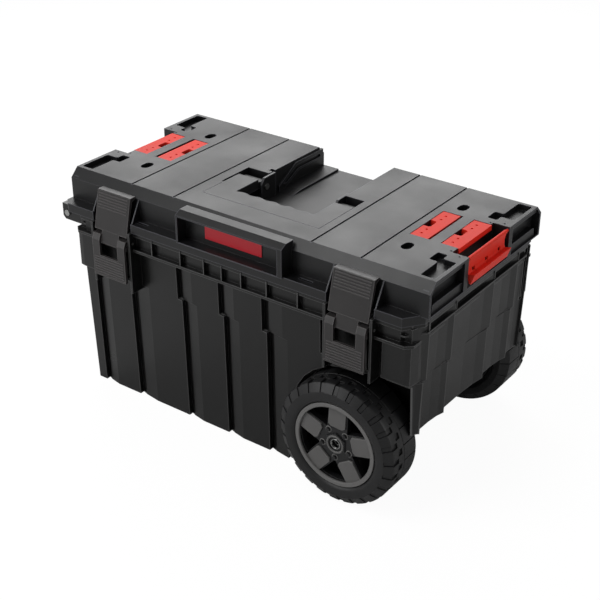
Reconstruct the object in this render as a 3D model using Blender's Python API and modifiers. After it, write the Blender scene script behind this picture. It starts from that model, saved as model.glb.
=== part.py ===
"""Rolling toolbox: a moulded tub on two wheels with a hinged lid, two draw latches,
a flush carry handle, a stacking side clip and a fold-down pull handle.

Metres, +Z up. The floor is z = 0, +X runs along the length towards the wheels,
-Y is the front with the latches. The origin lies on the flat base of the tub.
"""
import math

import bmesh
import bpy
from mathutils import Matrix, Vector

# Clearances, walls and overruns that many pieces share
touch_gap = 0.0003
cut_overrun = 0.006
shell_wall = 0.0032

# Tub: corrugated wall, floor and the raised underside between the wheels
wheel_radius = 0.117
tub_half_length = 0.3765
axle_x = tub_half_length - wheel_radius - 0.0095
tub_base_half_length = tub_half_length - 0.006
tub_half_depth = 0.198
tub_base_half_depth = tub_half_depth - 0.009
rim_top = 2 * wheel_radius + 0.1347
tub_corner = 0.012
tub_wall_top = rim_top - 0.0077
floor_thickness = 0.0035
ridge_step = 0.009
end_ridge_step = 0.0075
ridge_jog = 0.0105
ridge_jog_height = rim_top - 0.1157
ridge_jog_rise = 0.0012
front_ridge_shares = (-0.9004, -0.6587, -0.3214, -0.0637, 0.1926, 0.5232, 0.7703)
end_ridge_shares = (-0.866, -0.462, 0.227, 0.669)
end_jog_share = 0.9
front_curve_shares = ((0.0, 0.0), (0.10, 0.45), (0.36, 1.0))
end_curve_shares = ((0.0, 0.0), (0.50, 0.08), (0.80, 0.42))
front_inner_shares = ((0.0, 0.0), (0.36, 1.0))
end_inner_shares = ((0.0, 0.0), (0.60, 0.0))
base_right_end = axle_x - wheel_radius - 0.0175
under_slope_run = 0.034
under_height = wheel_radius + 0.030
under_rise = 0.007
heel_run = 0.011
heel_rise = 0.019
base_groove_depth = 0.0012
base_groove_width = 0.008
base_groove_count = 4

# Tub: rim flanges, ribs and corner posts
band_half_length = tub_half_length - 0.0065
band_half_depth = tub_half_depth + 0.0055
rim_upper_thickness = 0.0085
rim_upper_half_length = tub_half_length - 0.001
rim_upper_half_depth = tub_half_depth + 0.0125
flange_height = rim_top - 0.0382
flange_thickness = 0.005
flange_half_length = tub_half_length - 0.0055
flange_half_depth = tub_half_depth + 0.015
flange_corner_run = 0.0125
flange_corner_drop = 0.0110
end_flange_height = rim_top - 0.0232
end_flange_thickness = 0.003
end_flange_half_length = tub_half_length + 0.0015
rim_corner_run = 0.024
rim_corner_drop = 0.033
rim_rib_thickness = 0.002
rim_rib_setback = 0.001
front_rib_shares = (-0.462, -0.284, -0.141, -0.0345, 0.0797, 0.2258, 0.3984)
end_rib_shares = (-0.840, -0.398, 0.264, 0.712)
post_inner = tub_half_length - 0.063
post_fold = tub_half_length - 0.0195
post_corner = tub_half_length - 0.009
post_half_length = tub_half_length - 0.006
post_half_depth = tub_half_depth + 0.007
post_fold_drop = 0.0018
post_side_drop = 0.0215
post_inset = 0.030
post_bottom = rim_top - 0.1112

# Wheels, axle and wheel wells
wheel_width = 0.0883
wheel_outer_face = tub_half_depth + 0.0483
axle_radius = 0.0075
axle_bore = 0.0045
axle_end_setback = 0.0145
well_clearance = 0.0072
well_side_gap = 0.0049
well_foot = 0.011
well_arch_steps = 7
well_top = post_bottom - 0.0082
well_flat_start = axle_x + 0.040
well_end = tub_half_length - 0.013
running_gap = 0.0003
axle_bracket_thickness = 0.012
axle_bracket_half_width = 0.024
axle_bracket_drop = 0.0185
axle_bracket_inset = 0.0085

# Tyre and rim
tyre_inner_radius = wheel_radius - 0.036
tyre_wall_drop = 0.0055
tyre_wall_edge = 0.009
tyre_shoulder = 0.010
tread_depth = 0.0042
tread_groove = 0.0055
tread_row_width = 0.035
tread_gap = 0.0035
tread_blocks = 25
tyre_steps = 32
rim_barrel_thickness = 0.0045
rim_lip_radius = tyre_inner_radius - 0.0068
rim_setback = 0.004
rim_web_thickness = 0.004
rim_web_setback = 0.040
spoke_count = 5
spoke_width = 0.039
spoke_thickness = 0.011
spoke_setback = 0.010
spoke_first_angle = math.radians(15)
opening_apex_gap = 0.001
opening_steps = 3
hub_radius = 0.0245
hub_boss_radius = 0.0215
hub_inner_setback = 0.003
hub_outer_setback = 0.0173
boss_outer_setback = 0.0073
bearing_radius = 0.0132
hub_boss_sides = 6
bearing_width = 0.008
circlip_radius = 0.0108
circlip_thickness = 0.0013
lug_radius = 0.0036
lug_ring = 0.0285
lug_height = 0.004
lug_steps = 6
round_steps = 24
bar_steps = 16
small_steps = 12
planar_limit = math.radians(0.01)
merge_reach = touch_gap / 10
sharp_angle = math.radians(35)
ease_share = 0.45
rim_steps = tyre_steps

# Lid
ledge_thickness = 0.017
ledge_bottom = rim_top + touch_gap
ledge_top = ledge_bottom + ledge_thickness
block_height = 0.0577
lid_top = ledge_top + block_height
lid_half_length = tub_half_length + 0.0115
lid_block_half_depth = tub_half_depth - 0.008
lid_chamfer_run = 0.0167
lid_chamfer_drop = 0.0166
lid_top_wall = 0.0035
ledge_half_length = tub_half_length + 0.0015
ledge_half_depth = tub_half_depth + 0.017
ledge_left_reach = 0.0125
ledge_left_run = 0.014
ledge_left_drop = 0.012
ledge_overlap = 0.002
lid_cavity_half_length = lid_half_length - 0.019
lid_cavity_half_depth = lid_block_half_depth - 0.0035
groove_shares = (-0.6412, -0.3869, 0.3869, 0.6412)
groove_width = 0.0040
groove_depth = 0.0018
ledge_slot_shares = (-0.526, 0.410)
ledge_slot_length = 0.026
ledge_slot_width = 0.005
ledge_slot_place = lid_block_half_depth + 0.0105

# Lid: stacking pockets at both ends, given for the right end and mirrored
pocket_depth = 0.0105
pocket_corner_small = 0.0025
slot_end_gap = 0.007
slot_length = 0.0265
slot_narrow_reach = 0.017
slot_narrow_width = 0.0185
slot_outer_place = 0.1665
slot_step_place = 0.0985
slot_neck_place = 0.112
slot_inner_place = 0.0825
oval_centre = lid_half_length - 0.1025
oval_place = 0.0925
oval_half_width = 0.009
oval_half_length = 0.014
end_notch_x = lid_half_length - 0.032
end_notch_half_width = 0.070
notch_mark = 0.0035
notch_mark_gap = 0.0035
notch_mark_run = 0.0215
notch_mark_depth = 0.002
window_wall = 0.0048
window_deep_wall = 0.0155
window_inner = 0.082
window_side_wall = 0.0045
window_top_wall = 0.004
window_step_height = 0.016
window_step_setback = 0.004
window_step_gap = 0.010
window_step_round = 0.004

# Stacking inserts
insert_slot_width = 0.0392
insert_inner_start = lid_half_length - 0.124
insert_outer_start = lid_half_length - 0.064
insert_front = -0.051
insert_back = 0.0615
insert_side_gap = 0.005
insert_below_top = 0.0008
insert_notch_width = 0.013
insert_notch_half_length = 0.0125
insert_hole = 0.0042
insert_hole_depth = 0.004
insert_hole_shares = (0.14, 0.29, 0.71, 0.86)
insert_hole_side_share = 0.40
insert_lead = 0.003

# Lid: pocket of the carry handle and the channel behind it
handle_left = -0.1225
handle_right = 0.1315
handle_front = -0.125
handle_opening_left = -0.0765
handle_opening_right = 0.0925
grip_depth = 0.038
handle_thickness = 0.019
handle_edge = 0.0035
handle_pocket_gap = 0.0008
handle_pocket_depth = 0.0462
handle_pocket_floor = lid_top - handle_pocket_depth
handle_pivot_y = -0.0045
handle_pivot_z = lid_top - 0.0182
handle_arm_end = -0.022
handle_boss_radius = 0.0105
handle_back = handle_pivot_y + handle_boss_radius
handle_pocket_back = handle_back + 0.0073
handle_end_steps = 4
handle_side_slot = 0.005
handle_side_slot_front = -0.066
handle_web = 0.0045
handle_web_front = handle_pivot_y - 0.0145
handle_web_back = handle_pivot_y + 0.028
handle_web_slope_run = 0.009
handle_web_slope_drop = 0.011
handle_pin_radius = 0.0035
handle_pin_head_radius = 0.0058
handle_pin_head = 0.002
handle_pin_depth = 0.008
grip_wave_depth = 0.0035
grip_wave_count = 5
grip_wave_points = 30
channel_left = -0.079
channel_right = 0.0925
channel_slot_depth = 0.009
channel_slot_width = 0.009
plateau_reach = 0.035
plateau_height = 0.004
plateau_start = 0.037
plateau_edge = 0.065
rail_proud = 0.0035
rail_outer_shares = (
    (0.2105, 1.03), (0.2632, 1.03), (0.5526, 0.4697), (0.9580, 0.4805), (0.9580, 0.1017),
    (0.4868, 0.0909), (0.2105, 0.7511),
)
rail_inner_shares = (
    (0.3263, 0.7619), (0.5316, 0.3766), (0.9053, 0.3939), (0.9053, 0.2489), (0.5105, 0.2208),
    (0.2737, 0.7078),
)

# Visor and label plate
visor_left = -0.108
visor_right = 0.122
visor_front = lid_block_half_depth + 0.028
visor_back = lid_block_half_depth - 0.005
visor_slope_run = 0.013
visor_slope_drop = 0.0067
visor_lip = 0.0095
visor_cheek_left = 0.004
visor_cheek_right = 0.010
visor_panel = lid_block_half_depth + 0.0045
label_left = -0.060
label_right = 0.064
label_height = 0.0367
label_thickness = 0.0012

# Lid hinge
hinge_y = ledge_half_depth + 0.0055
hinge_z = rim_top - 0.0137
hinge_pin_radius = 0.0025
hinge_barrel_radius = 0.006
hinge_centre_share = 0.770
hinge_lid_half_width = 0.020
hinge_tub_width = 0.014
hinge_side_gap = 0.0004
hinge_web_inset = 0.008
hinge_tub_web = 0.032

# Seal
seal_half_length = tub_half_length - 0.006
seal_half_depth = tub_half_depth - 0.0025
seal_width = 0.0036
seal_height = 0.0034
seal_slack = 0.0003

# Draw latches
latch_centre_shares = (-0.7065, 0.680)
latch_half_width = 0.0395
latch_gap_half_width = latch_half_width + 0.007
latch_bay_half_width = latch_half_width + 0.0037
latch_bay_back = tub_half_depth + 0.0023
bracket_thickness = 0.0045
bracket_front = ledge_half_depth + 0.0065
bracket_bottom = post_bottom - 0.010
lever_pivot_y = 0.0015 - ledge_half_depth
lever_pivot_z = rim_top - 0.0217
lever_pin_radius = 0.002
lever_pin_reach = 0.001
lever_barrel_radius = 0.0055
lever_front = ledge_half_depth + 0.014
lever_thickness = 0.0048
lever_bottom = lever_pivot_z - 0.079
lever_lip = 0.004
lever_arm_width = 0.0175
lever_window_bottom = lever_pivot_z - 0.037
lever_tab_top = lever_pivot_z + 0.0045
lever_tab_shoulder = lever_pivot_z - 0.007
clip_pivot_y = -ledge_half_depth - 0.0055
clip_pivot_z = lever_pivot_z - 0.012
clip_pin_radius = 0.0015
clip_barrel_radius = 0.0038
clip_neck_gap = 0.0007
clip_shoulder = clip_pivot_z + 0.023
clip_top = lid_top - 0.0132
clip_foot_front = lever_front - 0.0042
clip_top_front = lid_block_half_depth + 0.0145
clip_thickness = 0.0046
clip_hook_tip = lid_block_half_depth + 0.0005
clip_hook_drop = 0.008
clip_lip_proud = 0.0012
rib_count_clip = 6
rib_count_lever = 7
rib_height = 0.0009
rib_pitch = 0.0052
rib_width = 0.0022
rib_margin = 0.0045
gusset_thickness = 0.0025
gusset_setback = 0.001

# Side clip at the right end
side_pivot_x = lid_half_length - 0.0045
side_pivot_z = lid_top - 0.0065
side_half_width = 0.0635
side_bead_radius = 0.0035
side_pin_radius = 0.0024
side_pin_depth = 0.0035
side_hole_places = (-0.044, 0.0, 0.044)
side_hole_width = 0.0085
side_hole_height = 0.0075
side_hole_back = 0.004
side_length = 0.045
side_outline_shares = (
    (0.040, -0.033), (-0.010, -0.340), (0.000, -0.560), (0.035, -0.640), (0.290, -0.575),
    (0.278, -0.620), (0.150, -1.000), (0.095, -0.985), (0.020, -0.780), (-0.065, -0.560),
    (-0.090, -0.340), (-0.060, -0.033),
)

# Pull handle at the left end
pull_pivot_x = -tub_half_length - 0.0295
pull_pivot_z = rim_top - 0.0187
pull_half_width = tub_half_depth - 0.048
pull_arm_width = 0.0215
pull_thickness = 0.013
pull_face = pull_pivot_x + 0.0015
pull_bottom = pull_pivot_z - 0.197
pull_grip_height = 0.030
pull_grip_front = pull_pivot_x - 0.0105
pull_edge = 0.003
pull_corner = pull_edge * 3
pull_barrel_radius = 0.0105
pull_barrel_outer = tub_half_depth - 0.0223
ear_outer_face = tub_half_depth - 0.008
ear_thickness = 0.014
ear_inner_face = tub_half_depth - 0.0698
ear_inner_thickness = 0.010
ear_left = pull_pivot_x - 0.0135
ear_top = pull_pivot_z + 0.017
ear_bottom = pull_pivot_z - 0.015
ear_chamfer = 0.006
pull_bolt_radius = 0.004
pull_bolt_head_radius = 0.0062
pull_bolt_head = 0.003

# Finishes: colour, roughness, metallic
black_plastic = ((0.018, 0.018, 0.020), 0.52, 0.0)
lid_plastic = ((0.026, 0.026, 0.028), 0.50, 0.0)
latch_plastic = ((0.034, 0.032, 0.031), 0.42, 0.0)
rim_plastic = ((0.050, 0.050, 0.052), 0.48, 0.0)
tyre_rubber = ((0.014, 0.014, 0.015), 0.78, 0.0)
red_plastic = ((0.80, 0.045, 0.022), 0.42, 0.0)
label_red = ((0.50, 0.006, 0.016), 0.35, 0.0)
seal_rubber = ((0.010, 0.010, 0.010), 0.85, 0.0)
zinc_steel = ((0.62, 0.62, 0.60), 0.32, 1.0)

# Derived places
axle_z = wheel_radius
wheel_inner_face = wheel_outer_face - wheel_width
well_inner_face = wheel_inner_face - well_side_gap
far = tub_half_length + tub_half_depth
wall_root_depth = tub_half_depth - ridge_step - shell_wall
wall_root_length = tub_half_length - ridge_step - shell_wall
latch_centres = [share * tub_half_length for share in latch_centre_shares]
hinge_centres = [side * hinge_centre_share * tub_half_length for side in (-1, 1)]
axis_frames = {
    "X": Matrix(((0, 0, 1, 0), (1, 0, 0, 0), (0, 1, 0, 0), (0, 0, 0, 1))),
    "Y": Matrix(((1, 0, 0, 0), (0, 0, -1, 0), (0, 1, 0, 0), (0, 0, 0, 1))),
    "Z": Matrix.Identity(4),
}
axis_unit = {"X": Vector((1, 0, 0)), "Y": Vector((0, 1, 0)), "Z": Vector((0, 0, 1))}


def clear_scene():
    """Take away whatever the scene holds."""
    for item in list(bpy.data.objects):
        bpy.data.objects.remove(item, do_unlink=True)


def new_collection(name, parent):
    """A collection inside another one."""
    group = bpy.data.collections.new(name)
    parent.children.link(group)
    return group


clear_scene()
toolbox = new_collection("rolling_toolbox", bpy.context.scene.collection)
cutters = new_collection("cutters", bpy.context.scene.collection)
workshop = bpy.data.scenes.new("workshop")


def mesh_object(name, mesh):
    """An object for a mesh, in the toolbox collection."""
    piece = bpy.data.objects.new(name, mesh)
    toolbox.objects.link(piece)
    return piece


def settled_mesh(source):
    """The mesh that a curve or a modified object gives, worked out in the workshop scene alone."""
    workshop.collection.objects.link(source)
    layer = workshop.view_layers[0]
    layer.update()
    mesh = bpy.data.meshes.new_from_object(source.evaluated_get(layer.depsgraph))
    bpy.data.objects.remove(source, do_unlink=True)
    return mesh


def from_bmesh(name, shape):
    """An object made from a bmesh, whose faces are turned outwards."""
    bmesh.ops.recalc_face_normals(shape, faces=shape.faces)
    mesh = bpy.data.meshes.new(name)
    shape.to_mesh(mesh)
    shape.free()
    return mesh_object(name, mesh)


def block(name, low, high):
    """A box between two corners."""
    low = Vector(low)
    high = Vector(high)
    shape = bmesh.new()
    size = high - low
    middle = (high + low) / 2
    bmesh.ops.create_cube(shape, size=1, matrix=Matrix.Translation(middle) @ Matrix.Diagonal((*size, 1)))
    return from_bmesh(name, shape)


def cylinder(name, radius, centre, low, high, axis, steps=round_steps):
    """A round bar along an axis, from low to high, around the centre's other two coordinates."""
    turn = {"X": Matrix.Rotation(math.pi / 2, 4, "Y"), "Y": Matrix.Rotation(math.pi / 2, 4, "X"),
            "Z": Matrix.Identity(4)}[axis]
    middle = Vector(centre)
    middle += axis_unit[axis] * ((low + high) / 2 - middle.dot(axis_unit[axis]))
    shape = bmesh.new()
    bmesh.ops.create_cone(shape, cap_ends=True, segments=steps, radius1=radius, radius2=radius,
                          depth=high - low, matrix=Matrix.Translation(middle) @ turn)
    return from_bmesh(name, shape)


def slab(name, outlines, low, high, axis):
    """Flat outlines, the first one the rim and the others its holes, extruded from low to high."""
    curve = bpy.data.curves.new(name, "CURVE")
    curve.dimensions = "2D"
    curve.fill_mode = "BOTH"
    curve.extrude = (high - low) / 2
    for outline in outlines:
        spline = curve.splines.new("POLY")
        spline.points.add(len(outline) - 1)
        for point, (along, across) in zip(spline.points, outline):
            point.co = (along, across, 0, 1)
        spline.use_cyclic_u = True
    mesh = settled_mesh(bpy.data.objects.new(name, curve))
    shape = bmesh.new()
    shape.from_mesh(mesh)
    bmesh.ops.remove_doubles(shape, verts=shape.verts, dist=merge_reach)
    bmesh.ops.recalc_face_normals(shape, faces=shape.faces)
    shape.to_mesh(mesh)
    shape.free()
    piece = mesh_object(name, mesh)
    piece.matrix_world = Matrix.Translation(axis_unit[axis] * ((low + high) / 2)) @ axis_frames[axis]
    return piece


def loft(name, sections):
    """A closed body through plan outlines with equal numbers of points, from the lowest up."""
    shape = bmesh.new()
    rings = [[shape.verts.new((x, y, height)) for x, y in outline] for height, outline in sections]
    for lower, upper in zip(rings, rings[1:]):
        for index in range(len(lower)):
            after = (index + 1) % len(lower)
            shape.faces.new((lower[index], lower[after], upper[after], upper[index]))
    shape.faces.new(rings[-1])
    shape.faces.new(list(reversed(rings[0])))
    bmesh.ops.connect_verts_nonplanar(shape, angle_limit=planar_limit, faces=shape.faces)
    return from_bmesh(name, shape)


def turned(name, profile, centre, steps):
    """A closed (radius, y) profile turned about the Y axis through the centre."""
    shape = bmesh.new()
    corners = [shape.verts.new((radius, 0, along)) for radius, along in profile]
    for index in range(len(corners)):
        shape.edges.new((corners[index], corners[(index + 1) % len(corners)]))
    mesh = bpy.data.meshes.new(name)
    shape.to_mesh(mesh)
    shape.free()
    wire = bpy.data.objects.new(name, mesh)
    screw = wire.modifiers.new("turn", "SCREW")
    screw.steps = steps
    screw.render_steps = steps
    screw.use_merge_vertices = True
    screw.merge_threshold = merge_reach
    shape = bmesh.new()
    shape.from_mesh(settled_mesh(wire))
    bmesh.ops.remove_doubles(shape, verts=shape.verts, dist=merge_reach)
    lay = Matrix.Translation(Vector(centre)) @ Matrix.Rotation(-math.pi / 2, 4, "X")
    bmesh.ops.transform(shape, matrix=lay, verts=shape.verts)
    return from_bmesh(name, shape)


def tool(piece, group=None):
    """Turn a body into a hidden cutter or an added shape."""
    for owner in list(piece.users_collection):
        owner.objects.unlink(piece)
    (group or cutters).objects.link(piece)
    piece.hide_render = True
    piece.display_type = "WIRE"
    return piece


def combine(piece, shapes, operation):
    """Join shapes to a piece or cut them from it, all of them in one Boolean modifier."""
    if not shapes:
        return
    boolean = piece.modifiers.new(operation.lower(), "BOOLEAN")
    boolean.operation = operation
    boolean.solver = "EXACT"
    if len(shapes) == 1:
        boolean.object = tool(shapes[0])
        return
    group = new_collection(piece.name + "_" + operation.lower(), cutters)
    for shape in shapes:
        tool(shape, group)
    boolean.operand_type = "COLLECTION"
    boolean.collection = group


def join(piece, *shapes):
    """Add shapes to a piece."""
    combine(piece, list(shapes), "UNION")


def cut(piece, *shapes):
    """Cut shapes out of a piece."""
    combine(piece, list(shapes), "DIFFERENCE")


def bevel(piece, width, segments=1, angle=math.radians(40)):
    """Round the sharp edges of a piece."""
    rounding = piece.modifiers.new("edges", "BEVEL")
    rounding.width = width
    rounding.segments = segments
    rounding.limit_method = "ANGLE"
    rounding.angle_limit = angle
    rounding.use_clamp_overlap = True


def finish(piece, look, pivot=(0, 0, 0), parent=None, smooth=False):
    """Give a piece its own material and its origin, and hang it on its joint's empty."""
    colour, roughness, metallic = look
    material = bpy.data.materials.new(piece.name)
    material.use_nodes = True
    shader = material.node_tree.nodes["Principled BSDF"]
    shader.inputs["Base Color"].default_value = (*colour, 1)
    shader.inputs["Roughness"].default_value = roughness
    shader.inputs["Metallic"].default_value = metallic
    pivot = Vector(pivot)
    piece.data.transform(Matrix.Translation(-pivot) @ piece.matrix_world)
    piece.matrix_world = Matrix.Identity(4)
    piece.data.materials.clear()
    piece.data.materials.append(material)
    if smooth:
        piece.data.shade_smooth()
        piece.data.set_sharp_from_angle(angle=sharp_angle)
    if parent:
        piece.parent = parent
        piece.location = pivot - parent.location
    else:
        piece.location = pivot
    return piece


def joint_empty(name, place):
    """The empty that stands on a joint's axis."""
    empty = bpy.data.objects.new(name, None)
    toolbox.objects.link(empty)
    empty.location = place
    return empty


def mirrored(points, flip_x=1, flip_y=1):
    """Outline points mirrored by the given signs."""
    return [(x * flip_x, y * flip_y) for x, y in points]


def ordered(first, second):
    """Two values, the smaller one first."""
    return (first, second) if first < second else (second, first)


def rounded_rectangle(left, right, front, back, corner, steps=3):
    """An outline with quarter-circle corners."""
    points = []
    centres = ((right - corner, back - corner, 0), (left + corner, back - corner, 1),
               (left + corner, front + corner, 2), (right - corner, front + corner, 3))
    for x, y, quarter in centres:
        for index in range(steps + 1):
            angle = (quarter + index / steps) * math.pi / 2
            points.append((x + corner * math.cos(angle), y + corner * math.sin(angle)))
    return points


def cut_corner_rectangle(half_length, half_depth, run, drop):
    """A rectangle whose four corners are cut off, counter-clockwise."""
    return [
        (half_length - run, half_depth), (run - half_length, half_depth),
        (-half_length, half_depth - drop), (-half_length, drop - half_depth),
        (run - half_length, -half_depth), (half_length - run, -half_depth),
        (half_length, drop - half_depth), (half_length, half_depth - drop),
    ]


# Tub


def wall_run(end, ridges, inset, step, curve):
    """One side of the corrugated wall as (along, outward) points: each panel starts in the
    groove, swells out in a curve and ends on a sharp ridge, where it steps back in."""
    run = []
    edges = list(ridges) + [end]
    for ridge, following in zip(edges, edges[1:]):
        run.append((ridge - inset, 0))
        for along_share, out_share in curve:
            along = ridge - inset + along_share * (following - ridge)
            run.append((along, -step * (1 - out_share)))
    run.append((end - tub_corner, 0))
    return run


def wall_outline(height, ridge_shift, inset):
    """The wall's plan at a height: front and right end, and their mirror images."""
    front_curve = front_inner_shares if inset else front_curve_shares
    end_curve = end_inner_shares if inset else end_curve_shares
    rise = height / tub_wall_top
    half_length = tub_base_half_length + (tub_half_length - tub_base_half_length) * rise
    half_depth = tub_base_half_depth + (tub_half_depth - tub_base_half_depth) * rise
    shifted = [share * tub_half_length - ridge_shift for share in front_ridge_shares]
    front_run = wall_run(half_length - inset, shifted, inset, ridge_step, front_curve)
    front = [(inset + tub_corner - half_length, inset - half_depth)]
    front += [(along, inset - half_depth - out) for along, out in front_run]
    ridges = [share * tub_half_depth + ridge_shift * end_jog_share for share in end_ridge_shares]
    end_run = wall_run(half_depth - inset, ridges, inset, end_ridge_step, end_curve)
    right = [(half_length - inset - end_ridge_step, inset + tub_corner - half_depth)]
    right += [(half_length - inset + out, along) for along, out in end_run]
    back = list(reversed(mirrored(front, flip_y=-1)))
    left = list(reversed(mirrored(right, flip_x=-1)))
    return front + right + back + left


def wall_body(name, bottom, top, inset):
    """The corrugated body, whose ridges jog sideways at one height."""
    jog_high = ridge_jog_height + ridge_jog_rise
    return loft(name, [
        (bottom, wall_outline(bottom, 0, inset)),
        (ridge_jog_height, wall_outline(ridge_jog_height, 0, inset)),
        (jog_high, wall_outline(jog_high, ridge_jog, inset)),
        (top, wall_outline(top, ridge_jog, inset)),
    ])


def under_space(name, grow):
    """The open space below the raised end, from the base's edge to the end wall."""
    outline = [
        (base_right_end - grow, -cut_overrun),
        (base_right_end + under_slope_run - grow, under_height + grow),
        (far, under_height + under_rise + grow),
        (far, -cut_overrun),
    ]
    return slab(name, [outline], -far, far, "Y")


def heel_space(name, grow):
    """The slanted cut along the bottom of the left end."""
    slope = heel_rise / heel_run
    edge = heel_run - tub_base_half_length + grow
    reach = far / 2
    outline = [(edge + cut_overrun / slope, -cut_overrun), (-reach, -cut_overrun),
               (-reach, (edge + reach) * slope)]
    return slab(name, [outline], -far, far, "Y")


def well_space(name, side, grow, end):
    """The wheel well on one side: an arch that levels off beside the wheel, up to the end wall."""
    radius = wheel_radius + well_clearance + grow
    arch = []
    for index in range(well_arch_steps + 1):
        angle = math.pi - index / well_arch_steps * math.pi / 2
        arch.append((axle_x + radius * math.cos(angle), axle_z + radius * math.sin(angle)))
    outline = [(axle_x - radius - well_foot, -cut_overrun)] + arch
    outline += [(well_flat_start, well_top + grow), (end, well_top + grow), (end, -cut_overrun)]
    low, high = ordered(side * (well_inner_face - grow), side * far)
    return slab(name, [outline], low, high, "Y")


def tub_cavity():
    """The inside of the tub: the wall's outline set in by the wall, less the wells' housings."""
    cavity = wall_body("tub_cavity", floor_thickness, rim_top + cut_overrun, shell_wall)
    cut(cavity, under_space("cavity_under", shell_wall), heel_space("cavity_heel", shell_wall),
        well_space("cavity_well_front", -1, shell_wall, far), well_space("cavity_well_rear", 1, shell_wall,
                                                                         far))
    return cavity


def rim_shapes():
    """Band, flanges, ribs and corner posts that run round the tub below the lid."""
    shapes = []
    band = cut_corner_rectangle(band_half_length, band_half_depth, rim_corner_run, rim_corner_drop)
    upper = cut_corner_rectangle(rim_upper_half_length, rim_upper_half_depth, rim_corner_run,
                                 rim_corner_drop)
    lower = cut_corner_rectangle(flange_half_length, flange_half_depth, flange_corner_run,
                                 flange_corner_drop)
    ends = cut_corner_rectangle(end_flange_half_length, band_half_depth, rim_corner_run, rim_corner_drop)
    shapes.append(slab("rim_band", [band], flange_height, rim_top - touch_gap, "Z"))
    shapes.append(slab("rim_upper", [upper], rim_top - rim_upper_thickness, rim_top, "Z"))
    shapes.append(slab("rim_flange", [lower], flange_height, flange_height + flange_thickness, "Z"))
    shapes.append(slab("rim_end_flange", [ends], end_flange_height,
                       end_flange_height + end_flange_thickness, "Z"))
    rib_low = flange_height + flange_thickness / 2
    end_rib_low = end_flange_height + end_flange_thickness / 2
    rib_high = rim_top - rim_upper_thickness / 2
    half = rim_rib_thickness / 2
    for side in (-1, 1):
        for share in front_rib_shares:
            x = share * tub_half_length
            near, out = ordered(side * (band_half_depth - rim_rib_thickness),
                                side * (flange_half_depth - rim_rib_setback))
            shapes.append(block("rim_rib", (x - half, near, rib_low), (x + half, out, rib_high)))
        for share in end_rib_shares:
            y = share * tub_half_depth
            near, out = ordered(side * (band_half_length - rim_rib_thickness),
                                side * (end_flange_half_length - rim_rib_setback))
            shapes.append(block("rim_end_rib", (near, y - half, end_rib_low), (out, y + half, rib_high)))
        for end in (-1, 1):
            shapes.append(corner_post(end, side))
    return shapes


def corner_post(end, side):
    """A folded post that thickens the tub's upper corner beside a latch or hinge."""
    outline = [
        (post_inner, post_half_depth - post_inset), (post_inner, post_half_depth),
        (post_fold, post_half_depth), (post_corner, post_half_depth - post_fold_drop),
        (post_half_length, post_half_depth - post_side_drop),
        (post_half_length, post_half_depth - post_inset),
    ]
    top = flange_height + flange_thickness / 2
    return slab("corner_post", [mirrored(outline, end, side)], post_bottom, top, "Z")


def latch_brackets(centre):
    """The two cheeks that carry a latch's steel pin."""
    shapes = []
    for side in (-1, 1):
        low, high = ordered(centre + side * latch_bay_half_width,
                            centre + side * (latch_bay_half_width + bracket_thickness))
        shapes.append(block("latch_bracket", (low, -bracket_front, bracket_bottom),
                            (high, -wall_root_depth, rim_top)))
    return shapes


def tub_hinge_knuckles(centre):
    """The tub's two knuckles on either side of the lid's knuckle."""
    shapes = []
    for side in (-1, 1):
        inner = hinge_lid_half_width + hinge_side_gap
        low, high = ordered(centre + side * inner, centre + side * (inner + hinge_tub_width))
        shapes.append(cylinder("tub_knuckle", hinge_barrel_radius, (0, hinge_y, hinge_z), low, high, "X",
                               bar_steps))
        shapes.append(block("tub_knuckle_web", (low, hinge_y - hinge_tub_web, hinge_z - hinge_barrel_radius),
                            (high, hinge_y, hinge_z + hinge_barrel_radius)))
    return shapes


def pull_handle_ears():
    """Pairs of ears on the left end that hold the pull handle's bolts."""
    outline = [
        (-wall_root_length, ear_bottom), (ear_left + ear_chamfer, ear_bottom),
        (ear_left, ear_bottom + ear_chamfer), (ear_left, ear_top),
        (-wall_root_length, ear_top),
    ]
    shapes = []
    for side in (-1, 1):
        for face, thickness in ((ear_outer_face, ear_thickness), (ear_inner_face, ear_inner_thickness)):
            low, high = ordered(side * face, side * (face - thickness))
            shapes.append(slab("pull_ear", [outline], low, high, "Y"))
    return shapes


def axle_brackets():
    """Ribs under the raised floor that hold the axle."""
    top = under_height + under_rise
    outline = [
        (axle_x - axle_bracket_half_width, top), (axle_x - axle_bracket_half_width, axle_z),
        (axle_x - axle_bracket_half_width / 2, axle_z - axle_bracket_drop),
        (axle_x + axle_bracket_half_width / 2, axle_z - axle_bracket_drop),
        (axle_x + axle_bracket_half_width, axle_z), (axle_x + axle_bracket_half_width, top),
    ]
    outer = well_inner_face - axle_bracket_inset
    half = axle_bracket_thickness / 2
    places = ((-outer, -outer + axle_bracket_thickness), (-half, half),
              (outer - axle_bracket_thickness, outer))
    return [slab("axle_bracket", [outline], low, high, "Y") for low, high in places]


def base_grooves():
    """Shallow stiffening grooves across the flat base, kept off its middle."""
    shapes = []
    span = base_right_end + tub_base_half_length
    for index in range(base_groove_count):
        middle = base_right_end - span * (index + 1) / (base_groove_count + 1)
        shapes.append(block("base_groove", (middle - base_groove_width / 2, -well_inner_face, -cut_overrun),
                            (middle + base_groove_width / 2, well_inner_face, base_groove_depth)))
    return shapes


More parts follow.
